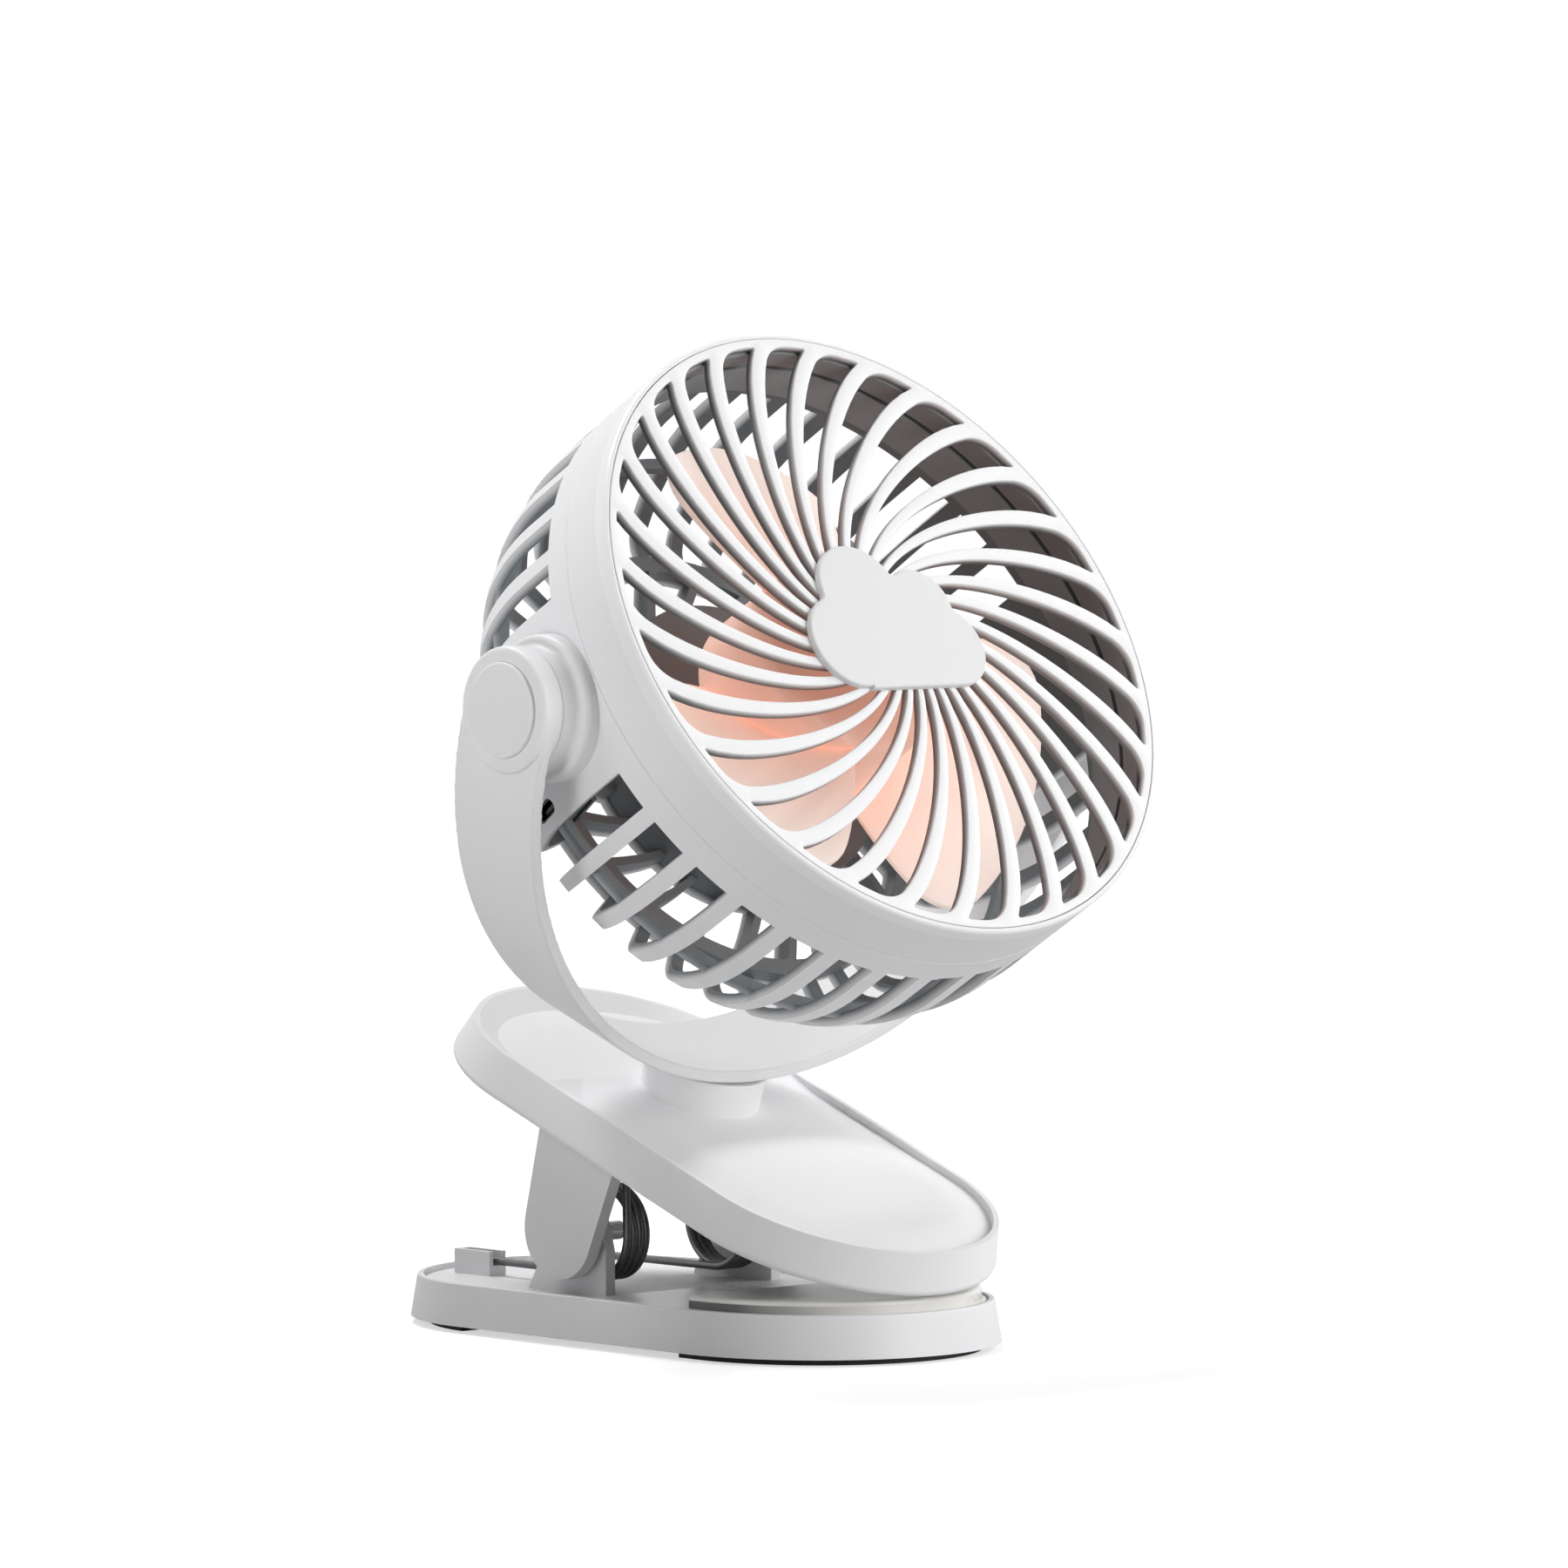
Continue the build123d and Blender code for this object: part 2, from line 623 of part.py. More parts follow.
def front_shell():
    """Plain front band of the drum."""
    band = tube(DRUM_RADIUS, DRUM_RADIUS - DRUM_WALL, SEAM, GRILLE_BACK)
    lip = tube(DRUM_RADIUS - DRUM_WALL, DRUM_RADIUS - DRUM_WALL - 1.4, SEAM - 3.5, GRILLE_BACK - 4.5)
    lip -= tube(DRUM_RADIUS, DRUM_RADIUS - DRUM_WALL - 0.15, SEAM - 5, SEAM)
    return band + lip - seam_groove()


def seam_groove():
    """Thin V-shaped line round the drum where the front and rear shells meet."""
    edge = DRUM_RADIUS + 0.05
    profile = make_face(Polyline((DRUM_RADIUS - 0.25, SEAM), (edge, SEAM - 0.3), (edge, SEAM + 0.3), close=True))
    return spin(profile)


def sweep_angle(radius):
    """How far a swept slat has turned at a radius, in degrees, from its outer end."""
    depth = log(67 / radius)
    return 29 * depth + 2 * (1 - exp(-10 * depth))


def half_slat(radius):
    """Half the angle that a narrow slat covers at a radius, in degrees."""
    return degrees((0.6 + 0.031 * radius) / 2 / radius / cos(radians(26)))


def broad_side(radius):
    """How much further, in degrees, a broad slat reaches on the side that faces the next slot."""
    return degrees((0.3 + 0.017 * radius) / radius / cos(radians(26)))


def swept_slot(r_in, r_out, count, rounding, broad):
    """Opening between two neighbouring swept slats, its trailing outer corner rounded."""
    steps = 7
    radii = [r_in * (r_out / r_in) ** (k / steps) for k in range(steps + 1)]
    pitch = 360 / count
    low = [polar(r, sweep_angle(r) + half_slat(r)) for r in radii]
    high = [polar(r, sweep_angle(r) + pitch - half_slat(r) - broad * broad_side(r)) for r in reversed(radii)]
    outer_mid = polar(r_out, sweep_angle(r_out) + pitch / 2)
    inner_mid = polar(r_in, sweep_angle(r_in) + pitch / 2)
    outline = make_face(
        Curve()
        + Spline(*low)
        + ThreePointArc(low[-1], outer_mid, high[0])
        + Spline(*high)
        + ThreePointArc(high[-1], inner_mid, low[0])
    )
    corner = outline.vertices().sort_by_distance(high[0])[0]
    return fillet(corner, rounding)


def front_grille():
    """Flat disc with swept slats, a thin rim and a skirt that snaps into the front shell."""
    disc = rod(DRUM_RADIUS, GRILLE_BACK, FRONT_FACE)
    disc = fillet(disc.edges().group_by(Axis.Z)[-1], 1.0)
    disc -= rod(SLOT_OUTER - 0.6, GRILLE_BACK - 1, SLAT_BACK)
    slot = Pos(0, 0, GRILLE_BACK - 1) * extrude(swept_slot(SLOT_INNER, SLOT_OUTER, SLATS, 5.0, 1), 6)
    pitch = 360 / SLATS
    disc -= [Rot(0, 0, SLAT_START + pitch * k) * slot for k in range(SLATS)]
    skirt_outer = DRUM_RADIUS - DRUM_WALL - 0.1
    return disc + tube(skirt_outer, SLOT_OUTER - 0.6, GRILLE_BACK - 3.5, GRILLE_BACK + 0.5)


def hub_cap():
    """Plain lobed plate over the middle of the grille."""
    lobes = Pos(-12, -3) * Circle(10.6)
    lobes += Pos(-4, 8.5) * Circle(10.75)
    lobes += Pos(11.75, 5) * Circle(8.25)
    lobes += Pos(15, -4.7) * Circle(9.5)
    lobes += Pos(1.5, -4.5) * Rectangle(25, 19.4)
    lobes += Pos(2, 2) * Circle(9)
    notches = [v for v in lobes.vertices() if v.Y > -10]
    lobes = fillet(notches, 1.5)
    cap = Pos(0, 0, FRONT_FACE) * extrude(lobes, 1.4)
    return fillet(cap.edges().group_by(Axis.Z)[-1], 0.5)


def rear_cap():
    """Cover of the electronics pocket, with the button's opening in its middle."""
    cap = tube(POCKET_RADIUS - 0.35, 6.2, REAR_FACE, REAR_FACE + 1.9)
    for x, y in cap_screw_places():
        cap -= Pos(x, y, 0) * rod(1.1, REAR_FACE - 1, REAR_FACE + 3)
        cap -= Pos(x, y, 0) * rod(2.2, REAR_FACE - 1, REAR_FACE + 1.0)
    return cap


def rear_cap_screws():
    """Three screws of the rear cap."""
    screw = rod(2.0, REAR_FACE + 0.1, REAR_FACE + 1.0) + rod(0.9, REAR_FACE + 1.0, REAR_FACE + 9)
    screw -= rod(0.8, REAR_FACE - 1, REAR_FACE + 0.5)
    return group([Pos(x, y, 0) * screw for x, y in cap_screw_places()])


def speed_button():
    """Round push button in the middle of the back."""
    face = rod(6.2 - GAP, REAR_FACE - 1.3, REAR_FACE + 1.6)
    face = fillet(face.edges().group_by(Axis.Z)[0], 0.6)
    flange = rod(7.4, REAR_FACE + 2.1, REAR_FACE + 2.9)
    return face + rod(5.0, REAR_FACE + 1.5, REAR_FACE + 2.9) + flange


def control_board():
    """Round circuit board with the push switch that the button works."""
    board = rod(24.5, REAR_FACE + 5.2, REAR_FACE + 6.4)
    for x, y in cap_screw_places():
        board -= Pos(x, y, 0) * rod(2.9, REAR_FACE, 0)
    switch = Pos(0, 0, REAR_FACE + 4.7) * Box(6, 6, 1.2)
    chip = Pos(11, -6, REAR_FACE + 4.8) * Box(5, 6, 1.0)
    return board + switch + chip


def battery():
    """Flat rechargeable cell in front of the control board."""
    cell = Pos(0, 0, REAR_FACE + 9.2) * Box(32, 25, 4.8)
    cell = fillet(cell.edges().filter_by(Axis.Z), 2.0)
    return cell


def motor():
    """Small round motor with a front bearing boss and two rear contacts."""
    can = rod(MOTOR_RADIUS, MOTOR_BACK, MOTOR_FRONT)
    can = fillet(can.edges().group_by(Axis.Z)[-1], 1.2)
    can += rod(3.5, MOTOR_FRONT - 0.5, MOTOR_FRONT + 1.8)
    can -= rod(SHAFT_RADIUS + BORE_GAP, MOTOR_BACK + 4, 20)
    for x, y in motor_screw_places():
        can -= Pos(x, y, 0) * rod(1.0, MOTOR_BACK - 1, MOTOR_BACK + 3)
    return can


def motor_screws():
    """Two screws through the pocket's front wall into the motor."""
    screw = rod(1.8, MOTOR_BACK - 3.0, MOTOR_BACK - 2) + rod(1.0, MOTOR_BACK - 2, MOTOR_BACK + 3)
    return group([Pos(x, y, 0) * screw for x, y in motor_screw_places()])


def pivot_inserts():
    """Threaded brass inserts in the pivot bosses."""
    insert = Rot(0, 90, 0) * tube(3.4, 2.0, 69.9, PIVOT_BOSS_FACE)
    return group([insert, Rot(0, 0, 180) * insert])


def pivot_screws():
    """Shoulder screws that the yoke's ends turn on."""
    head_start = PIVOT_BOSS_FACE + 1.75
    screw = rod(2.0, 70.4, PIVOT_BOSS_FACE)
    screw += rod(4.0, PIVOT_BOSS_FACE, head_start)
    screw += rod(6.3, head_start, head_start + 0.9)
    screw -= Pos(0, 0, head_start + 0.8) * Box(9, 1.2, 1.0)
    screw = Rot(0, 90, 0) * screw
    return group([screw, Rot(0, 0, 180) * screw])


def pivot_washers():
    """Spring washers that give the tilt its friction."""
    washer = Rot(0, 90, 0) * tube(6.3, 4.0, PIVOT_BOSS_FACE + 1.35, PIVOT_BOSS_FACE + 1.75)
    return group([washer, Rot(0, 0, 180) * washer])


# ---- Rotor ----

def blade():
    """One broad blade: a screw surface cut to a rounded outline."""
    inner = ROTOR_HUB_RADIUS - 1.2
    outer = BLADE_TIP + 3
    middle = (inner + outer) / 2
    margin = 18
    sheet_angle = BLADE_SPAN + 2 * margin
    pitch = BLADE_RISE * 360 / BLADE_SPAN
    path = Helix(pitch, pitch * sheet_angle / 360, middle)
    start = Plane(origin=path @ 0, x_dir=(1, 0, 0), z_dir=path % 0)
    sheet = sweep(start * Rectangle(outer - inner, BLADE_THICKNESS), path=path, is_frenet=True)
    sheet = Pos(0, 0, BLADE_BACK - BLADE_RISE * margin / BLADE_SPAN) * Rot(0, 0, -BLADE_SPAN / 2 - margin) * sheet
    outline = Pos(0, 0, -15) * extrude(blade_outline(), 45)
    return sheet & outline


def blade_outline():
    """Front view of a blade: both edges swept a little, round corners at the tip."""
    root = ROTOR_HUB_RADIUS - 1.0
    half = BLADE_SPAN / 2
    leading = [polar(root, -half - 2), polar(38, -half - 1), polar(BLADE_TIP, -half + 4)]
    trailing = [polar(BLADE_TIP, half - 8), polar(38, half - 2), polar(root, half + 1)]
    face = make_face(
        Curve()
        + Spline(*leading)
        + ThreePointArc(leading[-1], polar(BLADE_TIP, 0), trailing[0])
        + Spline(*trailing)
        + ThreePointArc(trailing[-1], polar(root, 0), leading[0])
    )
    tips = face.vertices().sort_by(SortBy.DISTANCE)[-2:]
    return fillet(tips, 9)


def fan_rotor():
    """Hub cup with three blades."""
    hub = rod(ROTOR_HUB_RADIUS, ROTOR_HUB_BACK, ROTOR_HUB_FRONT)
    hub = fillet(hub.edges().group_by(Axis.Z)[-1], 2.5)
    hub -= rod(ROTOR_HUB_RADIUS - 1.8, ROTOR_HUB_BACK - 1, ROTOR_HUB_FRONT - 1.8)
    hub += rod(4.0, MOTOR_FRONT + 2.4, ROTOR_HUB_FRONT - 1)
    hub -= rod(SHAFT_RADIUS, MOTOR_FRONT, SHAFT_END)
    one_blade = blade()
    for k in range(BLADES):
        hub += Rot(0, 0, BLADE_START + 360 / BLADES * k) * one_blade
    return hub


def motor_shaft():
    """Shaft from the motor into the rotor's hub."""
    shaft = rod(SHAFT_RADIUS, MOTOR_BACK + 5, SHAFT_END)
    return chamfer(shaft.edges().group_by(Axis.Z)[0], 0.3)


# ---- All sub-parts, each placed in the assembly ----

base_parts = {
    "lower_plate": lower_plate(),
    "bottom_cover": bottom_cover(),
    "bottom_screws": bottom_screws(),
    "foot_pad_front": foot_pad(30, BASE_LENGTH / 2),
    "foot_pad_rear": foot_pad(-BASE_LENGTH / 2, -38),
    "lower_jaw_pad": lower_jaw_pad(),
    "hinge_pins": hinge_pins(),
    "clamp_spring_near": clamp_spring(-1),
    "clamp_spring_far": clamp_spring(1),
}
plate_parts = {
    "upper_plate": upper_plate(),
    "upper_cover": upper_cover(),
    "upper_jaw_pad": upper_jaw_pad(),
    "cover_screws": cover_screws(),
}
yoke_parts = {
    "yoke": yoke(),
    "pivot_caps": pivot_caps(),
    "swivel_washer": swivel_washer(),
    "swivel_screw": swivel_screw(),
}
head_parts = {
    "rear_shell": rear_shell(),
    "front_shell": front_shell(),
    "front_grille": front_grille(),
    "hub_cap": hub_cap(),
    "rear_cap": rear_cap(),
    "rear_cap_screws": rear_cap_screws(),
    "speed_button": speed_button(),
    "control_board": control_board(),
    "battery": battery(),
    "charging_port": charging_port(),
    "charging_board": charging_board(),
    "motor": motor(),
    "motor_screws": motor_screws(),
    "motor_shaft": motor_shaft(),
    "fan_rotor": fan_rotor(),
    "pivot_inserts": pivot_inserts(),
    "pivot_screws": pivot_screws(),
    "pivot_washers": pivot_washers(),
}

for frame, parts in (
    (Plane.XY, base_parts),
    (plate_frame, plate_parts),
    (yoke_frame, yoke_parts),
    (head_frame, head_parts),
):
    for name, part in parts.items():
        save(name, frame.location * part)
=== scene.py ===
# %% [markdown]
# # A small clip fan
#
# A round fan head hangs in a half-ring yoke, and the yoke stands on a spring clamp.
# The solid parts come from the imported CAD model, which stays where it is. This lesson gives
# every part its finish, and makes again the pieces where a mesh can show more than a plain
# solid does: the swept front grille, the rotor with its blades, and the two clamp springs.

# %% Load the frame and measure it
from math import atan2, cos, degrees, exp, log, radians, sin, sqrt, tau

import bmesh
import bpy
from mathutils import Matrix, Vector


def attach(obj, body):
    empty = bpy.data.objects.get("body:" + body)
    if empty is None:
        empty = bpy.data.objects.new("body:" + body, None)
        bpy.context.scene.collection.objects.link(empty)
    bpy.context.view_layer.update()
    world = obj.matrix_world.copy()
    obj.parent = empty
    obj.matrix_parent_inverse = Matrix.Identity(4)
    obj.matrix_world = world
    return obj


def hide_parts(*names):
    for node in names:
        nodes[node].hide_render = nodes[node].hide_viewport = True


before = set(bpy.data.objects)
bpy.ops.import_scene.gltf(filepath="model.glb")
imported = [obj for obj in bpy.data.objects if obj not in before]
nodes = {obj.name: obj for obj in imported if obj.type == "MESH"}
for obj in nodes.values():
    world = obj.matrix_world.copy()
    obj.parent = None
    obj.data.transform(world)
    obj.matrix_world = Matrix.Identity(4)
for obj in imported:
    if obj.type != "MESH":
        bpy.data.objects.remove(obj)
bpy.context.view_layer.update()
MM = 0.001

# %% [markdown]
# ## The camera
#
# The photograph was taken from in front of the jaw corner with a long lens, so the two clamp
# plates look almost side-on and the fan head shows its front and its near side. A long focal
# length and a distant camera give the same flat perspective. The camera looks along a line
# set by two angles, and two small offsets centre the object as in the photograph.

# %% Place the camera
VIEW_AZIMUTH = radians(46.929)
VIEW_ELEVATION = radians(2.954)
CAMERA_RIGHT = 17.189 * MM
CAMERA_UP = 116.126 * MM
CAMERA_DISTANCE = 2011.966 * MM
CAMERA_LENS = 218.58
CAMERA_SENSOR = 36

back = Vector(
    (
        sin(VIEW_AZIMUTH) * cos(VIEW_ELEVATION),
        -cos(VIEW_AZIMUTH) * cos(VIEW_ELEVATION),
        sin(VIEW_ELEVATION),
    )
)
right = Vector((cos(VIEW_AZIMUTH), sin(VIEW_AZIMUTH), 0))
up = back.cross(right)

camera_data = bpy.data.cameras.new("photo_camera")
camera_data.lens = CAMERA_LENS
camera_data.sensor_width = CAMERA_SENSOR
camera_data.clip_start = 0.1
camera_data.clip_end = 50
camera = bpy.data.objects.new("photo_camera", camera_data)
bpy.context.scene.collection.objects.link(camera)
place = right * CAMERA_RIGHT + up * CAMERA_UP + back * CAMERA_DISTANCE
turn = Matrix((right, up, back)).transposed().to_4x4()
camera.matrix_world = Matrix.Translation(place) @ turn
bpy.context.scene.camera = camera
bpy.context.scene.view_settings.view_transform = "Standard"
print("camera at", [round(x, 3) for x in place])

# %% [markdown]
# ## Small helpers for node trees
#
# Materials, geometry trees and the world are all node trees. One helper places a node and
# fills its sockets with numbers or links, and a second one does sums. They keep the trees
# below short enough to read.

# %% Helpers that place nodes
def add(tree, kind, inputs=None, **settings):
    """Place a node, set its options, then give its sockets numbers or links."""
    made = tree.nodes.new(kind)
    for name, value in settings.items():
        setattr(made, name, value)
    for name, value in (inputs or {}).items():
        if isinstance(value, bpy.types.NodeSocket):
            tree.links.new(value, made.inputs[name])
        else:
            made.inputs[name].default_value = value
    return made


def sums(tree, operation, first, second=0.0):
    """One step of arithmetic on two numbers or sockets."""
    return add(tree, "ShaderNodeMath", {0: first, 1: second}, operation=operation).outputs[0]


print("helpers ready")

# %% [markdown]
# ## Studio light
#
# The object is lit by large soft lamps on the side that its grille faces, which make the face
# of the grille and the top of the clamp nearly white. A low one in front lifts the ends of the
# clamp plates, and a high one behind gives the handle end and the back of the drum a light
# grey. Two weak lamps with narrow beams lift the near side of the drum and the inner face of
# the yoke, so that the near side grows darker towards the base. The world gives only a dim
# even light, but it looks white to the camera and in reflections.

# %% World
world = bpy.data.worlds.new("studio")
bpy.context.scene.world = world
world.use_nodes = True
sky = world.node_tree
sky.nodes.clear()
path = add(sky, "ShaderNodeLightPath")
seen = sums(sky, "MAXIMUM", path.outputs["Is Camera Ray"], path.outputs["Is Glossy Ray"])
seen = sums(sky, "MAXIMUM", seen, path.outputs["Is Transmission Ray"])
AMBIENT = 0.05
level = add(sky, "ShaderNodeMapRange", {"Value": seen, "To Min": AMBIENT, "To Max": 1.0}).outputs[0]
shade = add(sky, "ShaderNodeBackground", {"Color": (1, 1, 1, 1), "Strength": level})
add(sky, "ShaderNodeOutputWorld", {"Surface": shade.outputs[0]})
print("world light level", AMBIENT)

# %% [markdown]
# Each lamp is a disc that faces a point on the object or near it. A row gives its angle round
# the object and above level, its distance and size in metres and its power in watts. Some rows
# also give the point it faces or the width of its beam.

# %% Soft lamps
def soft_lamp(name, azimuth, elevation, distance, size, power, aim=(0.0, 0.0, 0.1), spread=180):
    """An area lamp that faces the object from a direction, with its beam's width, in degrees."""
    a, e = radians(azimuth), radians(elevation)
    towards = Vector((sin(a) * cos(e), -cos(a) * cos(e), sin(e)))
    data = bpy.data.lights.new(name, "AREA")
    data.shape = "DISK"
    data.size = size
    data.energy = power
    data.spread = radians(spread)
    lamp = bpy.data.objects.new(name, data)
    bpy.context.scene.collection.objects.link(lamp)
    lamp.location = Vector(aim) + towards * distance
    lamp.rotation_mode = "QUATERNION"
    lamp.rotation_quaternion = (-towards).to_track_quat("-Z", "Y")


soft_lamp("key_lamp", 115, 34, 1.4, 0.8, 6.0)
soft_lamp("low_lamp", 106, 10, 1.2, 0.8, 8.0, aim=(0.05, 0.0, 0.03))
soft_lamp("far_lamp", 165, 32, 1.3, 0.8, 4.6, aim=(0.04, 0.0, 0.05))
soft_lamp("back_lamp", -85, 66, 1.0, 0.4, 6.5, aim=(-0.05, 0.0, 0.06))
soft_lamp("head_lamp", -12, 30, 0.6, 0.3, 0.085, aim=(0.0, -0.05, 0.18), spread=50)
soft_lamp("yoke_lamp", 5, -12, 0.5, 0.25, 0.105, aim=(0.02, -0.05, 0.16), spread=45)

# %% [markdown]
# ## Floor
#
# The photograph has a plain white ground. A wide disc carries the object's soft shadow. Its
# material adds some of its own light for the camera only, a little near the object and all of
# it far away, so that the disc melts into the white background, and no more light reaches the
# object.

# %% Floor
FLOOR_RADIUS = 14
NEAR_REACH, FAR_REACH = 0.15, 1.2
NEAR_WHITENESS = 0.6
FLOOR_TONE = 0.6

floor_mesh = bpy.data.meshes.new("floor")
shape = bmesh.new()
bmesh.ops.create_circle(shape, cap_ends=True, radius=FLOOR_RADIUS, segments=96)
shape.to_mesh(floor_mesh)
shape.free()
floor = bpy.data.objects.new("floor", floor_mesh)
bpy.context.scene.collection.objects.link(floor)
floor_finish = bpy.data.materials.new("white_floor")
floor_finish.use_nodes = True
ground = floor_finish.node_tree
ground.nodes.clear()
seen_ray = add(ground, "ShaderNodeLightPath").outputs["Is Camera Ray"]
spot = add(ground, "ShaderNodeTexCoord").outputs["Object"]
reach = add(ground, "ShaderNodeVectorMath", {0: spot}, operation="LENGTH").outputs["Value"]
whiteness = add(
    ground,
    "ShaderNodeMapRange",
    {"Value": reach, "From Min": NEAR_REACH, "From Max": FAR_REACH, "To Min": NEAR_WHITENESS, "To Max": 1.0},
).outputs[0]
matt = add(ground, "ShaderNodeBsdfDiffuse", {"Color": (FLOOR_TONE, FLOOR_TONE, FLOOR_TONE, 1)})
floor_light = sums(ground, "MULTIPLY", seen_ray, whiteness)
glow = add(ground, "ShaderNodeEmission", {"Color": (1, 1, 1, 1), "Strength": floor_light})
both = add(ground, "ShaderNodeAddShader", {0: matt.outputs[0], 1: glow.outputs[0]})
add(ground, "ShaderNodeOutputMaterial", {"Surface": both.outputs[0]})
floor_mesh.materials.append(floor_finish)
print("floor radius in m", FLOOR_RADIUS)

# %% [markdown]
# ## What moulded plastic looks like close up
#
# The white parts are moulded in a steel tool whose walls were spark-eroded, so the plastic
# has a very fine matt grain, and it is never one even colour: it is a touch warmer or cooler
# from place to place where the melt flowed. One shader group makes both. It gives out a mask
# for the colour, a roughness and a height, and every plastic below uses it with its own values.

# %% Shader group: moulded grain
def new_group(name, inputs, outputs):
    """An empty shader group with named number and vector inputs and outputs."""
    tree = bpy.data.node_groups.new(name, "ShaderNodeTree")
    for title, kind, value in inputs:
        socket = tree.interface.new_socket(title, in_out="INPUT", socket_type=kind)
        if value is not None:
            socket.default_value = value
    for title in outputs:
        tree.interface.new_socket(title, in_out="OUTPUT", socket_type="NodeSocketFloat")
    return tree, tree.nodes.new("NodeGroupInput").outputs, tree.nodes.new("NodeGroupOutput")


GRAIN_SHARE = 0.4
MIDDLE = (1 + GRAIN_SHARE) / 2


def moulded_grain():
    """Fine spark-eroded grain over slow patches of tone."""
    tree, given, out = new_group(
        "moulded_grain",
        [
            ("Vector", "NodeSocketVector", None),
            ("Grain Size", "NodeSocketFloat", 0.0004),
            ("Patch Size", "NodeSocketFloat", 0.03),
            ("Roughness", "NodeSocketFloat", 0.5),
            ("Roughness Spread", "NodeSocketFloat", 0.08),
        ],
        ("Patches", "Roughness", "Height"),
    )
    fine = sums(tree, "DIVIDE", 1.0, given["Grain Size"])
    slow = sums(tree, "DIVIDE", 1.0, given["Patch Size"])
    grain = add(tree, "ShaderNodeTexNoise", {"Vector": given["Vector"], "Scale": fine, "Detail": 2.0}).outputs[0]
    patch = add(tree, "ShaderNodeTexNoise", {"Vector": given["Vector"], "Scale": slow, "Detail": 3.0}).outputs[0]
    even = sums(tree, "SUBTRACT", sums(tree, "ADD", sums(tree, "MULTIPLY", grain, GRAIN_SHARE), patch), MIDDLE)
    rough = sums(tree, "ADD", given["Roughness"], sums(tree, "MULTIPLY", even, given["Roughness Spread"]))
    tree.links.new(patch, out.inputs["Patches"])
    tree.links.new(rough, out.inputs["Roughness"])
    tree.links.new(grain, out.inputs["Height"])
    return tree


grain_group = moulded_grain()
print("shader group", grain_group.name)

# %% [markdown]
# In the photograph the inside of the drum is a dim grey. The lamps here leave it too light, so the materials paint
# shade on its inner faces, a dimmer tone, and another shader group makes the mask. It works out each point's distance
# from the head's axis and its depth behind the grille, and compares them with the outside of the drum, a cylinder
# that rounds off towards the back.
#
# The slats of the grille get painted shade on their walls too, a dim tone behind the face. A second output gives
# that. A third one is the distance from the axis, which the blades use.

# %% Shader group: painted shade inside the drum
HEAD_TILT = radians(30.7)
HEAD_CENTRE = Vector((30.587, 0.0, 135.298)) * MM
FACING = (cos(HEAD_TILT), 0.0, sin(HEAD_TILT))
DRUM_RADIUS = 70.8
DRUM_ROUNDING = 49.3
DRUM_BACK = 33.9
FACE = 29.4
RING_INNER = 68.0
WALL_FADE = (0.6, 2.2)
FACE_FADE = (0.35, 1.5)


def drum_shade_masks():
    """Masks for painted shade, 1 on the drum's inner faces and on the slats' walls, and the distance from the axis.
    """
    tree, given, out = new_group(
        "drum_shade_masks", [("Vector", "NodeSocketVector", None)], ("Inside", "Behind Face", "From Axis")
    )
    local = add(tree, "ShaderNodeVectorMath", {0: given["Vector"], 1: HEAD_CENTRE}, operation="SUBTRACT").outputs[0]
    depth = add(tree, "ShaderNodeVectorMath", {0: local, 1: FACING}, operation="DOT_PRODUCT").outputs["Value"]
    across = add(tree, "ShaderNodeVectorMath", {0: local, 1: FACING}, operation="CROSS_PRODUCT").outputs[0]
    radius = add(tree, "ShaderNodeVectorMath", {0: across}, operation="LENGTH").outputs["Value"]
    tree.links.new(radius, out.inputs["From Axis"])
    behind = sums(tree, "MINIMUM", depth, 0.0)
    curve = sums(tree, "SUBTRACT", DRUM_ROUNDING * MM * DRUM_ROUNDING * MM, sums(tree, "MULTIPLY", behind, behind))
    bulge = sums(tree, "SQRT", sums(tree, "MAXIMUM", curve, 0.0))
    outside = sums(tree, "ADD", (DRUM_RADIUS - DRUM_ROUNDING) * MM, bulge)
    wall = sums(tree, "SUBTRACT", outside, radius)
    limits = {"From Min": WALL_FADE[0] * MM, "From Max": WALL_FADE[1] * MM}
    in_wall = add(tree, "ShaderNodeMapRange", {"Value": wall, **limits}).outputs[0]
    past_back = sums(tree, "ADD", depth, DRUM_BACK * MM)
    in_back = add(tree, "ShaderNodeMapRange", {"Value": past_back, **limits}).outputs[0]
    tree.links.new(sums(tree, "MULTIPLY", in_wall, in_back), out.inputs["Inside"])
    below_face = sums(tree, "SUBTRACT", FACE * MM, depth)
    face_limits = {"From Min": FACE_FADE[0] * MM, "From Max": FACE_FADE[1] * MM}
    behind_face = add(tree, "ShaderNodeMapRange", {"Value": below_face, **face_limits}).outputs[0]
    in_ring = add(tree, "ShaderNodeMath", {0: radius, 1: RING_INNER * MM}, operation="LESS_THAN").outputs[0]
    tree.links.new(sums(tree, "MULTIPLY", behind_face, in_ring), out.inputs["Behind Face"])
    return tree


shade_mask_group = drum_shade_masks()
print("shader group", shade_mask_group.name)

# %% [markdown]
# Every plastic is made by one function from two near tones and a roughness. A second function
# turns a plastic to another colour where a mask says so.

# %% A maker of plastic materials
WHITE_LIGHT = (0.80, 0.80, 0.81)
WHITE_DARK = (0.76, 0.76, 0.775)
WHITE_ROUGHNESS = 0.48
GRAIN_STRENGTH = 0.6
GRAIN_DEPTH = 0.1


